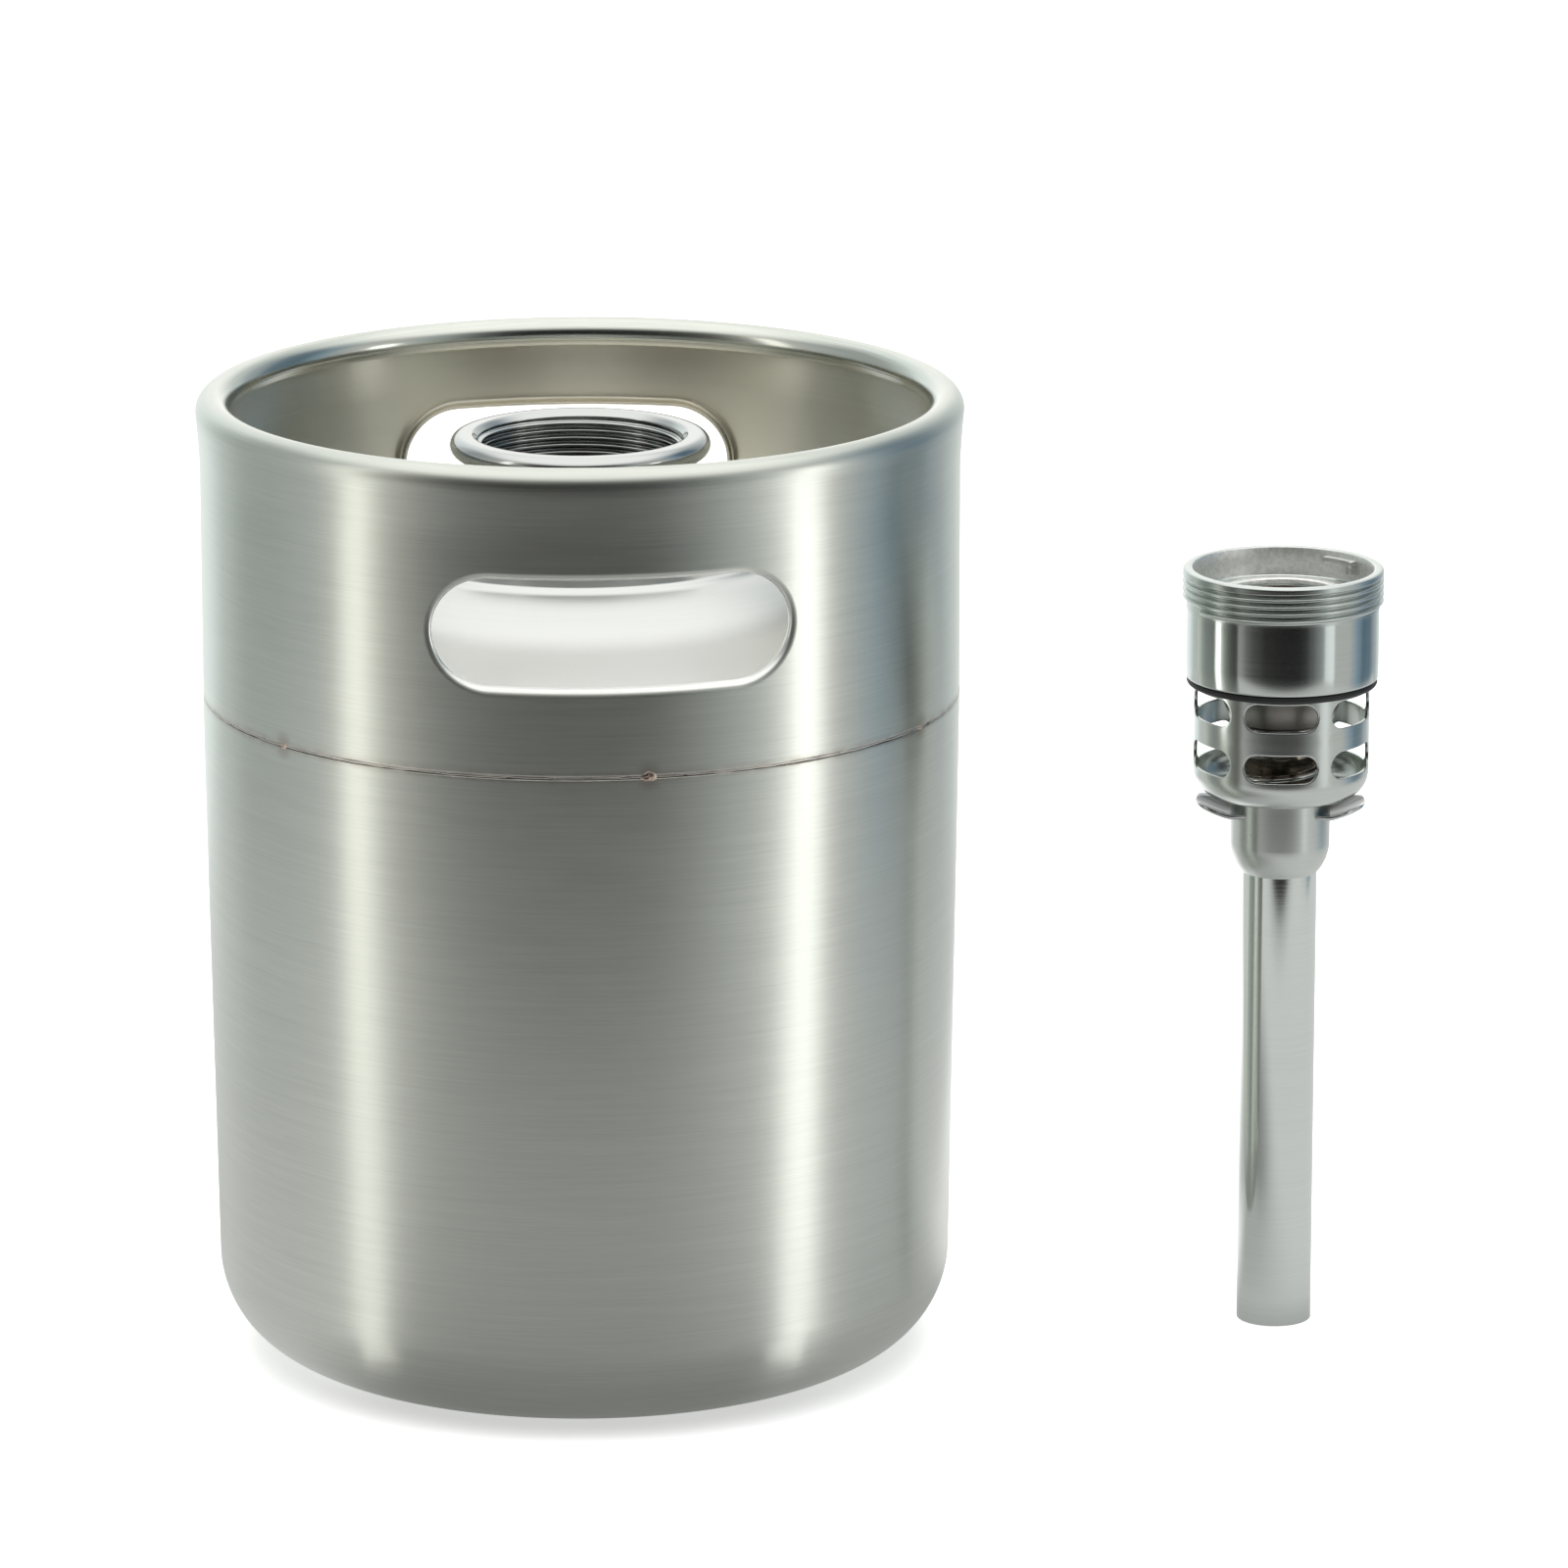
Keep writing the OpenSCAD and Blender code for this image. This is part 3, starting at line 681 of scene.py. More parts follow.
def seam_bead():
    """The ground weld: a low, slightly uneven line between vessel and skirt."""
    n = 720
    ph = RNG.uniform(0, 6.28, 12)

    def f(a, set_, amp):
        return amp * (math.sin(set_[0] * a + ph[0]) + 0.7 * math.sin(set_[1] * a + ph[1]) + 0.6 * math.sin(set_[2] * a + ph[2]))

    rings = [[] for _ in range(9)]
    for k in range(n):
        a = 2 * math.pi * k / n
        bulge = 0.10 + f(a, (37, 71, 113), 0.030)
        lift = f(a, (19, 43, 89), 0.05)
        half = 0.42 + f(a, (29, 53, 97), 0.04)
        sect = [(91.7, -0.40), (92.15, -half), (92.42, -half * 0.75), (92.48 + bulge, -0.15), (92.46 + bulge, 0.12),
                (92.42 + bulge * 0.5, half * 0.7), (92.15, half), (91.7, 0.40), (91.55, 0.0)]
        for q, (r, z) in enumerate(sect):
            rings[q].append((r * math.sin(a), -r * math.cos(a), SEAM + lift * (0.4 if q in (0, 7, 8) else 1.0) + z))
    return rings_to_mesh(rings)


def tacks():
    parts = []
    sizes = {11.1: 1.75, -49.0: 1.25, 63.0: 1.15, 88.0: 1.2}
    for q, a in enumerate(TACKS):
        rad = sizes.get(a, 1.2)
        nu, nv = 28, 10
        ph = RNG.uniform(0, 6.28, 4)
        t = math.radians(a)
        er = (math.sin(t), -math.cos(t))
        et = (math.cos(t), math.sin(t))
        verts, faces = [], []
        for j in range(nv + 1):
            b = math.radians(90 * j / nv)
            for i in range(nu):
                c = 2 * math.pi * i / nu
                wob = 1 + 0.10 * math.sin(2 * c + ph[0]) + 0.07 * math.sin(3 * c + ph[1]) + 0.04 * math.sin(5 * c + ph[2])
                rr = rad * wob * math.cos(b)
                hh = 0.46 * rad * math.sin(b) * (1 + 0.08 * math.sin(3 * c + ph[3]))
                u, v = rr * math.cos(c) * 1.12, rr * math.sin(c) * 0.92
                r0 = 92.15 + hh - (u * u) / (2 * 92.5)
                verts.append((r0 * er[0] + u * et[0], r0 * er[1] + u * et[1], SEAM + v))
        for j in range(nv):
            for i in range(nu):
                i2 = (i + 1) % nu
                faces.append((j * nu + i, j * nu + i2, (j + 1) * nu + i2, (j + 1) * nu + i))
        back = len(verts)
        verts.append((91.8 * er[0], 91.8 * er[1], SEAM))
        for i in range(nu):
            faces.append(((i + 1) % nu, i, back))
        # merge the pole
        pole = len(verts)
        top = nv * nu
        faces = [tuple(pole if x >= top and x < top + nu else x for x in f) for f in faces]
        verts.append(verts[top])
        clean = []
        for f in faces:
            g = []
            for x in f:
                if x not in g:
                    g.append(x)
            if len(g) > 2:
                clean.append(tuple(g))
        keep = sorted({x for f in clean for x in f})
        at = {o: k for k, o in enumerate(keep)}
        parts.append(([verts[x] for x in keep], [tuple(at[x] for x in f) for f in clean]))
    return merge(*parts)


piece("vessel", vessel(), KEG, "keg", "vessel_shell")
v, f, nrm = skirt()
piece("skirt", (v, f), KEG, "keg", "handle_skirt", normals=nrm, sharp=40)
piece("head", head(), HEAD, "keg", "top_head")
piece("neck", neck(), NECK, "keg", "neck_boss", sharp=89)
piece("neck_bead", neck_bead(), WELD, "keg", "neck_weld")
piece("seam_bead", seam_bead(), WELD, "keg", "girth_weld", sharp=60)
piece("tack_beads", tacks(), TACK, "keg", "tack_welds", sharp=60)


# ---------------------------------------------------------------- spear
SO = (SX, SY, HEAD_DROP)
FOOT = (SX, SY, 0.0)


def housing():
    n = 240
    rings = []

    def plain(r, z):
        return [(r, 2 * math.pi * k / n, z) for k in range(n)]

    prof = [(20.75, 172.0), (21.65, 172.0), (21.65, 166.92), (23.25, 166.92), (23.5, 167.0), (23.68, 167.2), (23.75, 167.5), (23.75, 172),
            (23.75, 178), (23.75, 184.2)]
    for r, z in prof:
        rings.append(plain(r, z))
    z0, z1 = 184.4, 193.72
    m = int(round((z1 - z0) / 0.13))
    for i in range(m + 1):
        z = z0 + (z1 - z0) * i / m
        ring = []
        for k in range(n):
            a = 2 * math.pi * k / n
            turns = (z - 186.7) / PITCH - a / (2 * math.pi) - 0.75
            t = abs(turns - round(turns)) * 2          # 0 on the crest
            h = max(0.0, min(1.0, (0.92 - t) / 0.70))
            h = h * h * (3 - 2 * h)
            # the thread runs out over half a turn at its foot
            start = 185.55 + PITCH * (((a / (2 * math.pi) + 0.42) % 1.0) - 0.5) * 0.9
            grow = max(0.0, min(1.0, (z - start) / 0.9))
            land = max(0.0, min(1.0, (193.0 - z) / 0.35))
            root = 23.75 - 0.12 * grow
            r = root + (24.75 - root) * h * grow
            top = 24.72
            ring.append((r * land + top * (1 - land), a, z))
        rings.append(ring)
    prof = [(24.66, 193.95), (24.5, 194.18), (24.25, 194.33), (23.9, 194.4), (22.65, 194.4), (22.42, 194.3), (22.3, 194.1),
            (22.3, 191), (22.3, 187.5), (22.1, 187.12), (21.7, 187.0), (16.7, 187.0), (16.3, 187.1), (16.2, 187.35), (16.2, 187.9), (16.05, 188.25),
            (15.7, 188.4), (13.7, 188.4), (13.35, 188.3), (13.2, 188.0), (13.2, 183.75), (13.35, 183.6), (20.2, 183.6), (20.6, 183.5), (20.75, 183.2), (20.75, 178)]
    for r, z in prof:
        rings.append(plain(r, z))
    pts = [[(r * math.cos(a), r * math.sin(a), z) for r, a, z in ring] for ring in rings]
    return rings_to_mesh(pts)


def lug(turn):
    """One hooked lug: a ledge under the lip with a stop at its right end."""
    def block(a0, a1, z0, z1, r_in=20.42, r_out=22.45, n=10, soft=0.28):
        sect = [(r_out, z0), (r_out, z1), (r_in + soft, z1), (r_in + soft * 0.3, z1 - soft * 0.3), (r_in, z1 - soft),
                (r_in, z0 + soft), (r_in + soft * 0.3, z0 + soft * 0.3), (r_in + soft, z0)]
        verts, faces = [], []
        for i in range(n + 1):
            a = math.radians(a0 + (a1 - a0) * i / n)
            pull = 0.16 if i in (0, n) else 0.0
            for r, z in sect:
                rr = r + (pull if r < 21 else 0)
                zz = z + (pull if z < (z0 + z1) / 2 else -pull)
                verts.append((rr * math.cos(a), rr * math.sin(a), zz))
        k = len(sect)
        for i in range(n):
            for q in range(k):
                q2 = (q + 1) % k
                faces.append((i * k + q, i * k + q2, (i + 1) * k + q2, (i + 1) * k + q))
        faces.append(tuple(range(k))[::-1])
        faces.append(tuple(n * k + q for q in range(k)))
        return verts, [f[::-1] for f in faces]

    return merge(block(turn - 13, turn + 13, 191.5, 193.0, n=18), block(turn - 13, turn - 7.5, 189.5, 191.7, n=6))


def cage():
    """Pressed shell with twelve windows, as one closed sheet."""
    ro, t, c = 21.65, 0.9, 6.5
    nc = 288
    flat = 2.85
    corner = math.pi / 2 * c

    def prof(s):
        if s < flat:
            return 12.3 + s, 136.9, 0.0, -1.0
        if s < flat + corner:
            a = (s - flat) / c
            return 15.15 + c * math.sin(a), 143.4 - c * math.cos(a), math.sin(a), -math.cos(a)
        return ro, 143.4 + s - flat - corner, 1.0, 0.0

    s_cyl = flat + corner
    s_low = s_cyl + 148.1 - 143.4
    s_high = s_cyl + 160.9 - 143.4
    s_top = s_cyl + 172 - 143.4
    half = 3.45
    pad = 1.9
    nr = 12
    rows = [0, 0.9, 1.9, flat, flat + 1.1, flat + 2.2, flat + 3.3, flat + 4.4, flat + 5.5, flat + 6.6, flat + 7.7, flat + 8.8]
    rows = [s for s in rows if s < s_low - half - pad - 0.3]
    j_a0 = len(rows)
    rows += [s_low - half - pad + (2 * half + 2 * pad) * k / nr for k in range(nr + 1)]
    j_a1 = len(rows) - 1
    j_b0 = len(rows)
    rows += [s_high - half - pad + (2 * half + 2 * pad) * k / nr for k in range(nr + 1)]
    j_b1 = len(rows) - 1
    rows += [s_top - 3, s_top]
    wins = [(w * 48, ja, jb, sc) for w in range(6) for ja, jb, sc in ((j_a0, j_a1, s_low), (j_b0, j_b1, s_high))]
    hw = 23                      # half width of a patch, in columns of 1.25 degrees

    verts, faces = [], []

    def add(p):
        verts.append(p)
        return len(verts) - 1

    def at(theta, s, d):
        r, z, nr_, nz = prof(s)
        r, z = r - nr_ * d, z - nz * d
        return (r * math.sin(theta), -r * math.cos(theta), z)

    def ang(i):
        return math.radians(i * 360.0 / nc + TURN)

    def in_patch(i, j, strict):
        for ic, ja, jb, _ in wins:
            di = (i - ic + nc // 2) % nc - nc // 2
            if strict:
                if -hw < di < hw and ja < j < jb:
                    return True
            elif -hw <= di < hw and ja <= j < jb:
                return True
        return False

    outer = [[-1] * nc for _ in rows]
    inner = [[-1] * nc for _ in rows]
    for j, s in enumerate(rows):
        for i in range(nc):
            if in_patch(i, j, True):
                continue
            outer[j][i] = add(at(ang(i), s, 0))
            inner[j][i] = add(at(ang(i), s, t))
    for j in range(len(rows) - 1):
        for i in range(nc):
            if in_patch(i, j, False):
                continue
            i2 = (i + 1) % nc
            faces.append((outer[j][i], outer[j][i2], outer[j + 1][i2], outer[j + 1][i]))
            faces.append((inner[j][i2], inner[j][i], inner[j + 1][i], inner[j + 1][i2]))
    for i in range(nc):
        i2 = (i + 1) % nc
        faces.append((inner[0][i], inner[0][i2], outer[0][i2], outer[0][i]))
        faces.append((outer[-1][i], outer[-1][i2], inner[-1][i2], inner[-1][i]))
    flat_w = 9.1 - half
    for ic, ja, jb, sc in wins:
        t0 = ang(ic)
        loop = [(ic + q, ja) for q in range(-hw, hw)] + [(ic + hw, j) for j in range(ja, jb)]
        loop += [(ic + q, jb) for q in range(hw, -hw, -1)] + [(ic - hw, j) for j in range(jb, ja, -1)]
        base = []
        for i, j in loop:
            x = ro * math.sin(math.radians((i - ic) * 360.0 / nc))
            y = rows[j] - sc
            mx = max(-flat_w, min(flat_w, x))
            d = math.hypot(x - mx, y)
            base.append((mx, (x - mx) / d, y / d, d))
        n = len(loop)

        def ring_at(spec):
            out = []
            for k in range(n):
                mx, nx, ny, dd = base[k]
                rho, depth = spec(dd)
                x = mx + nx * rho
                out.append(add(at(t0 + math.asin(max(-1, min(1, x / ro))), sc + ny * rho, depth)))
            return out

        e = 0.22
        specs = [lambda dd, q=q: (half + e + (dd - half - e) * q, 0.0) for q in (0.6, 0.3, 0.12, 0.0)]
        specs += [lambda dd, a=a: (half + e - e * math.sin(a), e * (1 - math.cos(a))) for a in (math.pi / 6, math.pi / 3, math.pi / 2)]
        specs += [lambda dd: (half, t - e)]
        specs += [lambda dd, a=a: (half + e * (1 - math.cos(a)), t - e + e * math.sin(a)) for a in (math.pi / 6, math.pi / 3, math.pi / 2)]
        specs += [lambda dd, q=q: (half + e + (dd - half - e) * q, t) for q in (0.12, 0.3, 0.6)]
        prev = [outer[j][i % nc] for i, j in loop]
        for spec in specs:
            ring = ring_at(spec)
            for k in range(n):
                k2 = (k + 1) % n
                faces.append((prev[k], prev[k2], ring[k2], ring[k]))
            prev = ring
        edge = [inner[j][i % nc] for i, j in loop]
        for k in range(n):
            k2 = (k + 1) % n
            faces.append((prev[k], prev[k2], edge[k2], edge[k]))
    used = sorted({i for f in faces for i in f})
    m = {o: q for q, o in enumerate(used)}
    return [verts[i] for i in used], [tuple(m[i] for i in f) for f in faces]


def wing(side):
    """One dished tab. Local axes: p out from the spear, q across."""
    a = math.radians(TURN) + (0 if side > 0 else math.pi)
    ca, sa = math.cos(a), math.sin(a)
    cx, rad, end = 12.3, 9.55, 20.95

    def outline(ang_):
        """Distance from (cx, 0) to the outline in direction ang_ (-90 to 90 degrees)."""
        d = rad
        b = cx * math.cos(ang_)
        reach = -b + math.sqrt(b * b - cx * cx + end * end)
        k = 14.0
        return -math.log(math.exp(-k * d) + math.exp(-k * reach)) / k

    def top(p, q):
        s = (p - cx) / 8.6
        return 131.75 + 3.8 * max(0.0, s) ** 1.25 + 0.019 * q * q * (1 - 0.3 * s) + 0.15

    nu, nv = 52, 12
    thick = 1.05
    verts, faces = [], []

    def put(p, q, z):
        verts.append((p * ca - q * sa, p * sa + q * ca, z))
        return len(verts) - 1

    rows_top, rows_bot = [], []
    for j in range(nv + 1):
        fr = j / nv
        fr = 1 - (1 - fr) ** 1.3
        rt, rb = [], []
        for i in range(nu + 1):
            w = math.radians(-124 + 248 * i / nu)
            d = outline(w)
            edge = 0.35
            rho = (d - edge) * fr
            p, q = cx + rho * math.cos(w), rho * math.sin(w)
            # inside the bell for a weld-like join
            inside = math.hypot(p, q)
            if inside < 12.1:
                k = 12.1 / max(inside, 1e-6)
                p, q = p * k, q * k
            rt.append((p, q, top(p, q)))
            rb.append((p, q, top(p, q) - thick))
        rows_top.append(rt)
        rows_bot.append(rb)
    # the rounded edge
    rim = []
    for s in (0.25, 0.5, 0.75):
        rr = []
        for i in range(nu + 1):
            w = math.radians(-124 + 248 * i / nu)
            d = outline(w)
            rho = d - 0.35 + 0.35 * math.sin(math.pi * s)
            p, q = cx + rho * math.cos(w), rho * math.sin(w)
            inside = math.hypot(p, q)
            if inside < 12.1:
                k = 12.1 / inside
                p, q = p * k, q * k
            rr.append((p, q, top(p, q) - thick * (0.5 - 0.5 * math.cos(math.pi * s))))
        rim.append(rr)
    grid = rows_top + rim + rows_bot[::-1]
    ids = [[put(*x) for x in row] for row in grid]
    for j in range(len(ids) - 1):
        for i in range(nu):
            faces.append((ids[j][i], ids[j + 1][i], ids[j + 1][i + 1], ids[j][i + 1]))
    # the straight side, against the bell
    left = [row[0] for row in ids]
    right = [row[-1] for row in ids]
    mid = len(ids) // 2
    for j in range(mid):
        k = len(ids) - 1 - j
        if k - j >= 2:
            faces.append((ids[j][0], ids[k][0], ids[k - 1][0], ids[j + 1][0]) if k - 1 != j + 1 else (ids[j][0], ids[k][0], ids[j + 1][0]))
            faces.append((ids[j][-1], ids[j + 1][-1], ids[k - 1][-1], ids[k][-1]) if k - 1 != j + 1 else (ids[j][-1], ids[j + 1][-1], ids[k][-1]))
    return verts, faces


def bell():
    p = [(11.55, 137.78), (12.3, 137.78), (12.3, 131)]
    p += arc(0.64, 125.15, 11.66, 0, -41, 24)
    p += [(9.38, 117.38), (9.33, 117.45), (9.33, 122.9), (10.9, 122.9), (11.25, 124.0),
          (11.55, 125.5), (11.55, 132)]
    return lathe_data(p, 160)


def tube():
    p = [(8.55, 0.12), (8.7, 0.0), (9.05, 0.0), (9.2, 0.1), (9.25, 0.3)] + [(9.25, z) for z in range(10, 176, 12)] + [(9.25, 176.65), (8.45, 176.65), (8.45, 120), (8.45, 60), (8.45, 0.35)]
    return lathe_data(p, 128)


def valve_cup():
    p = [(9.25, 156.0), (12.2, 156.0), (12.55, 156.1), (12.75, 156.35), (16.1, 164.7), (16.2, 165.1), (16.2, 178.38), (15.4, 178.38), (15.4, 165.3), (12.1, 157.1), (9.25, 157.0)]
    return lathe_data(p, 128)


def seal():
    p = [(6.3, 179.35), (8.45, 178.42), (16.4, 178.42), (16.8, 178.6), (16.9, 178.9), (16.9, 182.4), (16.75, 182.7), (16.3, 183.1), (15.9, 183.3), (13.9, 183.3), (13.5, 183.1),
         (13.3, 182.6), (12.7, 182.75), (12.4, 183.1), (12.4, 185.7), (12.3, 186.1), (12.0, 186.35), (11.6, 186.4), (11.6, 185.6), (7.2, 185.6), (7.2, 185.0), (6.3, 184.4)]
    return lathe_data(p, 128)


def ring_data(ro, ri, z0, z1, soft=0.15, seg=96):
    p = [(ri + soft, z0), (ro - soft, z0), (ro, z0 + soft), (ro, z1 - soft), (ro - soft, z1), (ri + soft, z1), (ri, z1 - soft), (ri, z0 + soft)]
    return lathe_data(p, seg)


def o_ring():
    return lathe_data(arc(22.6, 165.98, 0.9, 0, 360, 28)[:-1], 160)


def spring(mean, wire, z0, z1, turns, closed=0.9):
    """A coil with its end turns laid flat."""
    steps = int(turns * 44)
    pts, rad = [], []
    bottom, top = z0 + wire, z1 - wire
    dead = wire * 2 * 0.55
    for i in range(steps + 1):
        t = turns * i / steps
        if t < closed:
            z = bottom + dead * (t / closed) ** 1.6
        elif t > turns - closed:
            z = top - dead * ((turns - t) / closed) ** 1.6
        else:
            z = bottom + dead + (top - bottom - 2 * dead) * (t - closed) / (turns - 2 * closed)
        a = 2 * math.pi * t
        pts.append((mean * math.cos(a), mean * math.sin(a), z))
        rad.append(wire)
    return tube_along(pts, rad, 14)


def ball():
    p = [(0, 174.8 - 7.48)] + [(7.48 * math.cos(math.radians(b)), 174.8 + 7.48 * math.sin(math.radians(b))) for b in range(-84, 85, 6)] + [(0, 174.8 + 7.48)]
    return lathe_data(p, 64)


piece("housing", housing(), HOUSING, "spear_body", "spear_housing", origin=SO, local=True, sharp=89)
piece("lugs", merge(lug(46), lug(226)), CAST, "spear_body", "coupler_lugs", origin=SO, local=True, sharp=50)
piece("o_ring", o_ring(), BLACK, "spear_body", "housing_o_ring", origin=SO, local=True)
piece("cage", cage(), CAGE, "spear_body", "slotted_cage", origin=SO, local=True, sharp=50)
piece("wings", merge(wing(1), wing(-1)), WING, "spear_body", "safety_wings", origin=SO, local=True, sharp=60)
piece("bell", bell(), BELL, "spear_body", "bell_sleeve", origin=SO, local=True)
piece("tube", tube(), TUBE, "siphon", "down_tube", origin=FOOT, local=True)
piece("cup", valve_cup(), CUP, "siphon", "valve_cup", origin=SO, local=True)
piece("seal", seal(), BROWN, "siphon", "valve_seal", origin=SO, local=True)
piece("hub_ring", ring_data(11.6, 7.2, 185.6, 186.4), WIRE, "siphon", "seal_ring", origin=SO, local=True)
piece("spring_washer", ring_data(8.45, 4.6, 157.0, 158.2), CUP, "siphon", "ball_spring_seat", origin=SO, local=True)
main_spring = piece("main_spring", spring(10.3, 0.7, 123.2, 156.0, 6.5), WIRE, "siphon", "valve_spring", origin=SO, local=True)
small_spring = piece("small_spring", spring(5.5, 0.45, 158.2, 169.2, 5), WIRE, "siphon", "ball_spring", origin=SO, local=True)
piece("ball", ball(), WIRE, "ball", "valve_ball", origin=SO, local=True)
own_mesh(main_spring)
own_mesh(small_spring)


# ---------------------------------------------------------------- floor, light, camera
def floor():
    m = Mat("paper_floor")
    n = m.noise(m.obj(), 90.0, 4.0, 0.6)
    f = m.noise(m.obj(), 1400.0, 2.0, 0.6)
    g = m.rng(n, 0.3, 0.7, 0.985, 1.0)
    c = m.mixrgb(1.0, rgb(0.93, 0.93, 0.93), m.vec(g, g, g), "MULTIPLY")
    b = m.surface(Base_Color=c, Roughness=0.85, Normal=m.bump(f, 0.05, 0.0002))
    b.inputs["Specular IOR Level"].default_value = 0.1
    b.inputs["Emission Color"].default_value = (1.0, 1.0, 1.0, 1.0)
    b.inputs["Emission Strength"].default_value = 0.46
    me = bpy.data.meshes.new("floor")
    s = 6.0
    me.from_pydata([(-s, -s, 0), (s, -s, 0), (s, s, 0), (-s, s, 0)], [], [(0, 1, 2, 3)])
    me.materials.append(m.m)
    ob = bpy.data.objects.new("floor", me)
    SC.collection.objects.link(ob)
    ob.location = (0, 0, 0)
    ob.visible_glossy = False
    ob.visible_shadow = False
    return ob


def world():
    """Soft studio light: two upright strip lights at the sides, dim behind the camera, pale elsewhere."""
    w = bpy.data.worlds.new("studio")
    SC.world = w
    w.use_nodes = True
    t = w.node_tree
    t.nodes.clear()
    m = Mat.__new__(Mat)
    m.t = t
    out = t.nodes.new("ShaderNodeOutputWorld")
    d = m.n("ShaderNodeTexCoord").outputs["Generated"]
    x, y, z = m.xyz(d)[:3]
    az = m.math("ARCTAN2", x, m.math("MULTIPLY", y, -1.0))           # 0 towards the camera's side, positive to +X
    fac = m.math("ADD", m.math("MULTIPLY", az, 0.5 / math.pi), 0.5)
    stops = HORIZON
    ramp = m.n("ShaderNodeValToRGB")
    ramp.color_ramp.interpolation = "EASE"
    els = ramp.color_ramp.elements
    while len(els) > 1:
        els.remove(els[-1])
    for q, (deg, lum, tint) in enumerate(stops):
        e = els[0] if q == 0 else els.new(0.5 + deg / 360.0)
        e.position = 0.5 + deg / 360.0
        e.color = (lum * tint[0] / LSCALE, lum * tint[1] / LSCALE, lum * tint[2] / LSCALE, 1.0)
    m.link(fac, ramp.inputs[0])
    up = m.rng(z, math.sin(math.radians(TOP_FROM)), math.sin(math.radians(TOP_TO)), 0.0, 1.0, "SMOOTHSTEP")
    down = m.rng(z, -math.sin(math.radians(30)), -math.sin(math.radians(65)), 0.0, 1.0, "SMOOTHSTEP")
    c = m.mixrgb(up, ramp.outputs[0], rgb(*[TOP / LSCALE * k for k in (1.0, 1.0, 0.985)]))
    c = m.mixrgb(down, c, rgb(*[BOTTOM / LSCALE] * 3))
    bg = t.nodes.new("ShaderNodeBackground")
    m.link(c, bg.inputs[0])
    bg.inputs[1].default_value = LSCALE
    white = t.nodes.new("ShaderNodeBackground")
    white.inputs[0].default_value = (1, 1, 1, 1)
    white.inputs[1].default_value = 1.0
    path = t.nodes.new("ShaderNodeLightPath")
    mix = t.nodes.new("ShaderNodeMixShader")
    t.links.new(path.outputs["Is Camera Ray"], mix.inputs[0])
    t.links.new(bg.outputs[0], mix.inputs[1])
    t.links.new(white.outputs[0], mix.inputs[2])
    t.links.new(mix.outputs[0], out.inputs["Surface"])
    w.cycles.sampling_method = "MANUAL"
    w.cycles.sample_map_resolution = 1024


LSCALE = 2.0
TOP, BOTTOM = 1.48, 0.30
TOP_FROM, TOP_TO = 32.0, 62.0
W_ = (1.0, 1.0, 0.98)
C_ = (0.93, 1.0, 1.0)
Y_ = (1.0, 0.985, 0.93)
B_ = (0.90, 1.0, 1.08)
BB_ = (0.68, 1.0, 1.28)
# (azimuth in degrees, brightness, tint)
HORIZON = [
    (-180, 1.3, W_), (-150, 1.12, C_), (-135, 0.74, C_), (-119, 0.48, C_), (-104, 0.50, C_), (-90, 0.56, C_), (-80, 0.62, W_),
    (-62, 0.56, Y_), (-54, 0.31, Y_), (-45, 0.12, Y_), (-36, 0.06, Y_), (-21, 0.02, Y_), (0, 0.01, W_), (17, 0.01, C_), (25, 0.03, C_),
    (33, 0.12, C_), (41, 0.26, C_), (49, 0.44, C_), (58, 0.56, C_), (68, 0.62, W_), (84, 0.62, W_), (92, 0.50, B_), (100, 0.38, BB_),
    (110, 0.21, BB_), (124, 0.24, BB_), (139, 0.50, B_), (154, 0.78, C_), (180, 1.3, W_)]


def card(name, size, loc, rot, power, glossy=False, tint=(1, 1, 1)):
    li = bpy.data.lights.new(name, "AREA")
    li.shape = "RECTANGLE"
    li.size, li.size_y = size
    li.energy = power
    li.color = tint
    ob = bpy.data.objects.new(name, li)
    SC.collection.objects.link(ob)
    ob.location = loc
    ob.rotation_euler = rot
    ob.visible_camera = False
    ob.visible_glossy = glossy
    return ob


def strip(name, azimuth, dist, width, z0, z1, glow, tint, only=None, at=(0.0, 0.0)):
    """An upright soft strip seen from the point `at`, facing it. glow is its brightness."""
    a = math.radians(azimuth)
    x, y = at[0] + dist * math.sin(a), at[1] - dist * math.cos(a)
    h = z1 - z0
    ob = card(name, (width, h), (x, y, (z0 + z1) / 2), (math.radians(90), 0, a), glow * math.pi * width * h, True, tint)
    ob.visible_diffuse = False
    if only:
        c = bpy.data.collections.new(name + "_lit")
        for o in only:
            c.objects.link(o)
        ob.light_linking.receiver_collection = c
    return ob


def floor_strip(name, azimuth, d0, d1, half, glow, tint, only):
    """The part of an upright strip's light that lies on the paper in front of the keg's foot."""
    a, h = math.radians(azimuth), math.radians(azimuth / 2)
    d = (d0 + d1) / 2
    x, y = 0.091 * math.sin(h) + d * math.sin(a), -0.091 * math.cos(h) - d * math.cos(a)
    ob = card(name, (2 * half, d1 - d0), (x, y, 0.0003), (math.pi, 0, a), glow * math.pi * 2 * half * (d1 - d0), True, tint)
    ob.visible_diffuse = False
    c = bpy.data.collections.new(name + "_lit")
    for o in only:
        c.objects.link(o)
    ob.light_linking.receiver_collection = c


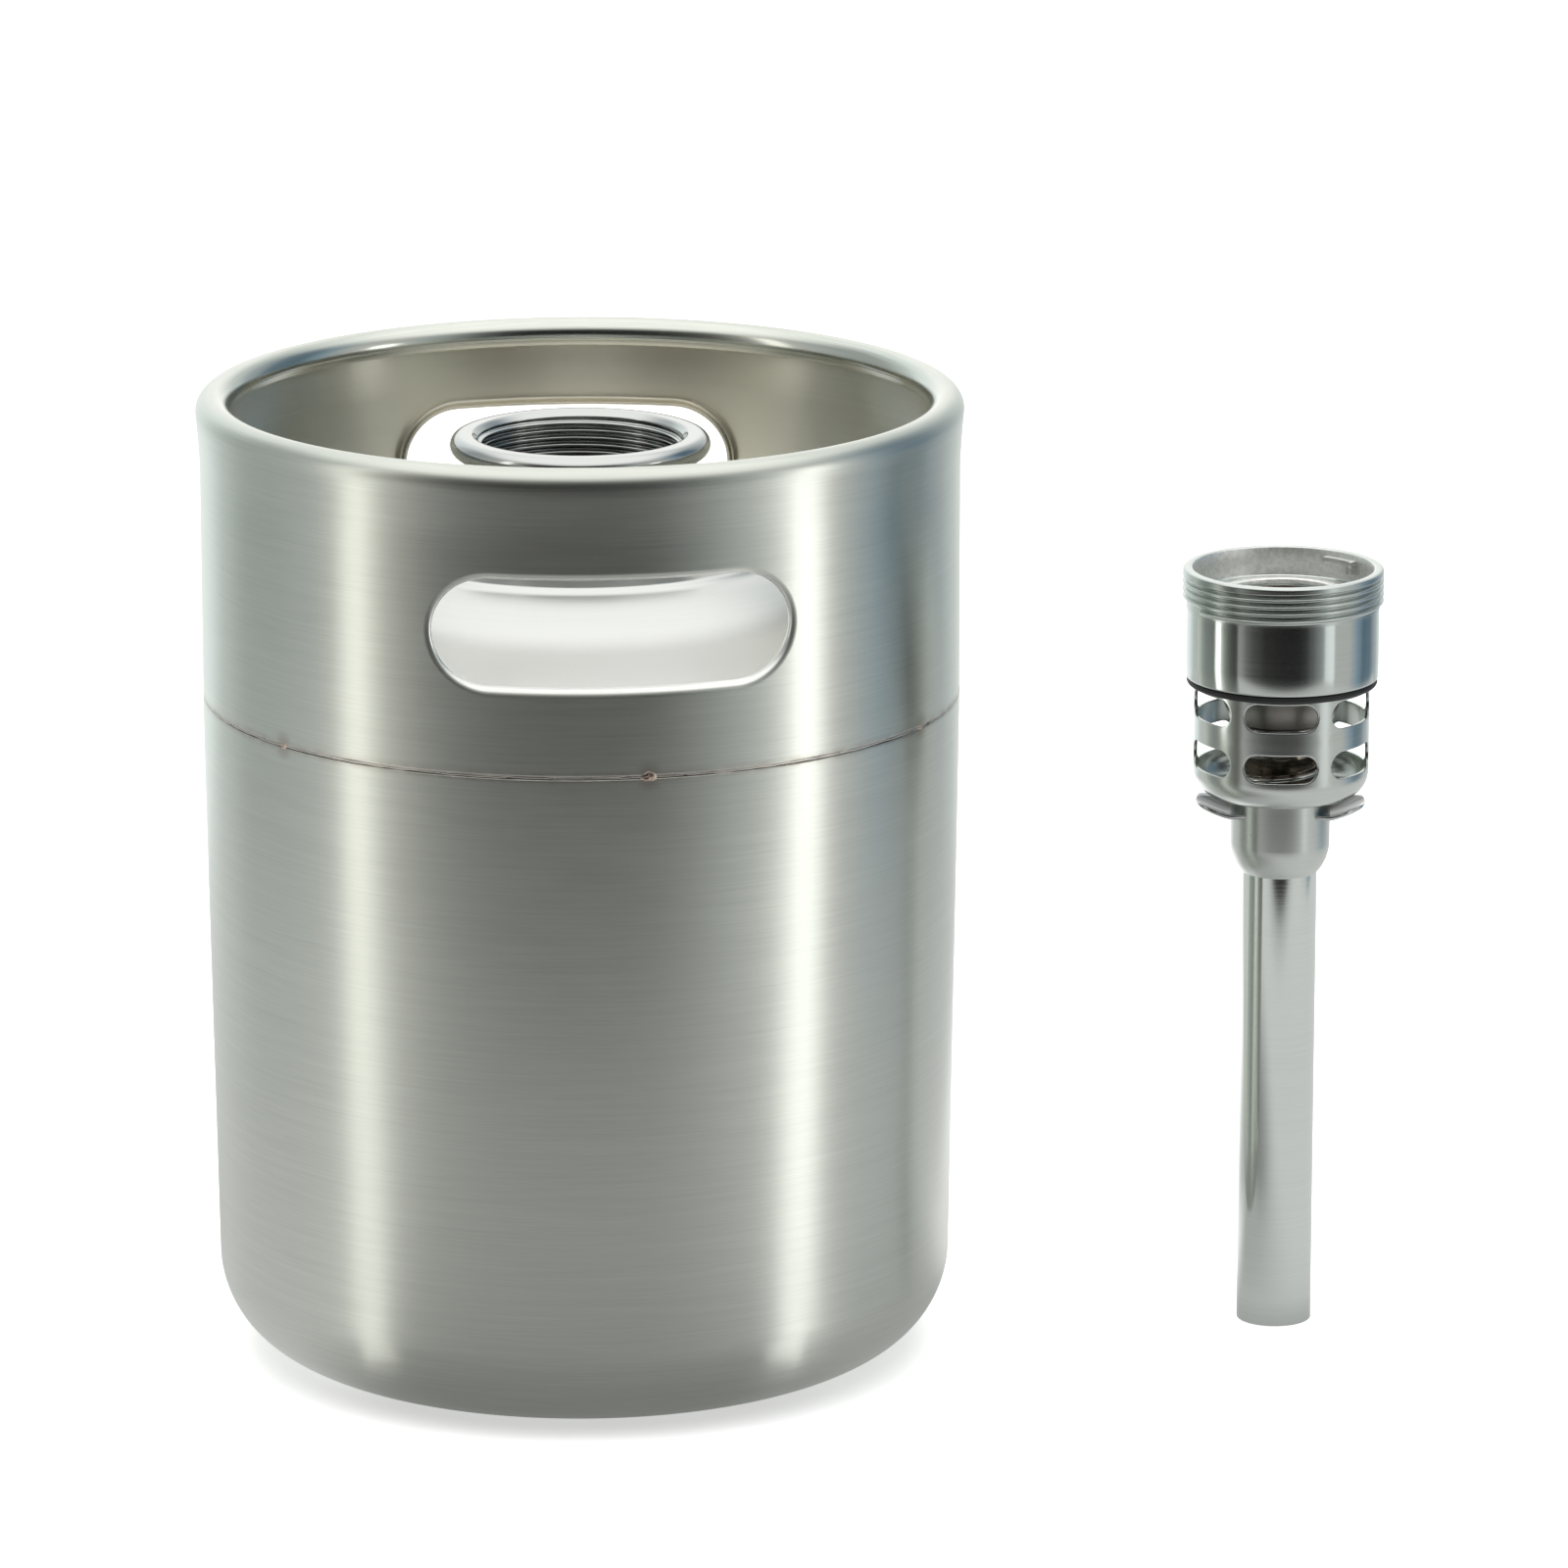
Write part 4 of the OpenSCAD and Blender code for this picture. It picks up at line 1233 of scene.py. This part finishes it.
def floor_card(x0, x1, y0, y1, glow):
    """An emissive card seen only in reflections: a painted reflection of the bright paper round the objects, with
    painted shadow where they stand.
    """
    m = Mat("paper_glow")
    x, y, z = m.xyz(m.obj())[:3]

    def away(cx, cy):
        dx, dy = m.math("SUBTRACT", x, cx), m.math("SUBTRACT", y, cy)
        return dx, m.math("SQRT", m.math("ADD", m.math("MULTIPLY", dx, dx), m.math("MULTIPLY", dy, dy)))

    dx, d = away(0.0, 0.0)
    side = m.rng(m.math("DIVIDE", m.math("ABSOLUTE", dx), d), 0.55, 0.95, 0.0, 1.0, "SMOOTHSTEP")
    left = m.rng(x, 0.03, -0.03, 0.0, 1.0)
    # painted shadow round the keg's foot: darkest in front, lighter to the sides, lightest to the left
    low = m.math("ADD", 0.42, m.math("MULTIPLY", side, m.math("ADD", 0.26, m.math("MULTIPLY", left, 0.32))))
    k = m.math("ADD", low, m.math("MULTIPLY", m.math("SUBTRACT", 1.0, low), m.rng(d, 0.085, 0.26, 0.0, 1.0, "SMOOTHSTEP")))
    # painted shadow round the spear's foot
    _, ds = away(SX / 1000, SY / 1000)
    k = m.math("MULTIPLY", k, m.rng(ds, 0.008, 0.03, 0.80, 1.0, "SMOOTHSTEP"))
    # painted pool of light on the paper behind the keg, left of the spear
    behind = m.math("MULTIPLY", m.rng(y, 0.02, 0.08, 0.0, 1.0, "SMOOTHSTEP"), m.math("MULTIPLY", m.rng(x, 0.19, 0.15, 0.0, 1.0), m.rng(x, -0.08, 0.0, 0.0, 1.0)))
    k = m.math("MULTIPLY", k, m.math("ADD", 1.0, m.math("MULTIPLY", behind, 0.9)))
    ramp = m.n("ShaderNodeValToRGB")
    els = ramp.color_ramp.elements
    for q, (at, lum) in enumerate(((-0.410, 0.0), (-0.395, 0.55), (-0.378, 0.80), (-0.320, 1.0))):
        e = els[q] if q < 2 else els.new(0.5)
        e.position = (at - y0) / 0.12
        e.color = (lum, lum, lum, 1.0)
    m.link(m.rng(y, y0, y0 + 0.12, 0.0, 1.0), ramp.inputs[0])
    far = ramp.outputs[0]
    e = m.n("ShaderNodeEmission")
    m.link(m.math("MULTIPLY", m.math("MULTIPLY", k, far), glow), e.inputs["Strength"])
    m.link(e.outputs[0], m.out.inputs["Surface"])
    me = bpy.data.meshes.new("floor_glow")
    me.from_pydata([(x0, y0, 0), (x1, y0, 0), (x1, y1, 0), (x0, y1, 0)], [], [(0, 1, 2, 3)])
    me.materials.append(m.m)
    ob = bpy.data.objects.new("floor_glow", me)
    SC.collection.objects.link(ob)
    ob.location = (0, 0, -0.0008)
    ob.visible_camera = ob.visible_diffuse = ob.visible_shadow = ob.visible_transmission = False


keg_parts = [o for o in SC.objects if o.name in ("vessel", "skirt", "head", "neck", "neck_bead", "seam_bead", "tack_beads")]
spear_parts = [o for o in SC.objects if o.name in ("housing", "lugs", "o_ring", "cage", "wings", "bell", "tube", "cup", "seal", "hub_ring",
                                                   "spring_washer", "main_spring", "small_spring", "ball")]
floor()
world()
card("overhead", (2.4, 2.4), (0.05, 0.3, 2.2), (0, 0, 0), 30.0)
floor_card(-0.45, 0.60, -0.415, 0.45, 0.74)
strip("strip_right", 71.6, 2.0, 0.36, -1.50, 0.8, 2.22, (1.0, 1.0, 0.99), keg_parts)
strip("strip_left", -69.5, 2.0, 0.34, -1.30, 1.6, 1.22, (1.0, 0.985, 0.93), keg_parts)
for q, (d0, d1, half) in enumerate(((0.012, 0.07, 0.0075), (0.07, 0.16, 0.0155), (0.16, 0.32, 0.028), (0.32, 0.60, 0.046))):
    floor_strip("foot_right_%d" % q, 71.6, d0, d1, half, 0.90 + 0.16 * q, (1.0, 1.0, 0.99), keg_parts)
    floor_strip("foot_left_%d" % q, -69.5, d0, d1, half, 0.68 + 0.06 * q, (1.0, 0.985, 0.93), keg_parts)
strip("strip_spear", 55.0, 1.5, 0.34, -0.40, 1.4, 0.60, (1.0, 1.0, 1.0), spear_parts, (SX / 1000, SY / 1000))
strip("strip_gap", -70.6, 0.058, 0.007, 0.145, 0.176, 1.6, (1.0, 1.0, 0.98), spear_parts, (SX / 1000, SY / 1000))

cam = bpy.data.cameras.new("camera")
cam.lens = 212.13
cam.sensor_width = 36.0
cam.clip_start = 0.05
cam.clip_end = 30.0
co = bpy.data.objects.new("camera", cam)
SC.collection.objects.link(co)
co.location = (0.0496, -2.2, 0.7015)
co.rotation_euler = (math.radians(90) - 0.2496, 0, 0)
SC.camera = co
SC.view_settings.view_transform = "Standard"
SC.view_settings.look = "None"
SC.view_settings.exposure = 0.0
SC.view_settings.gamma = 1.0
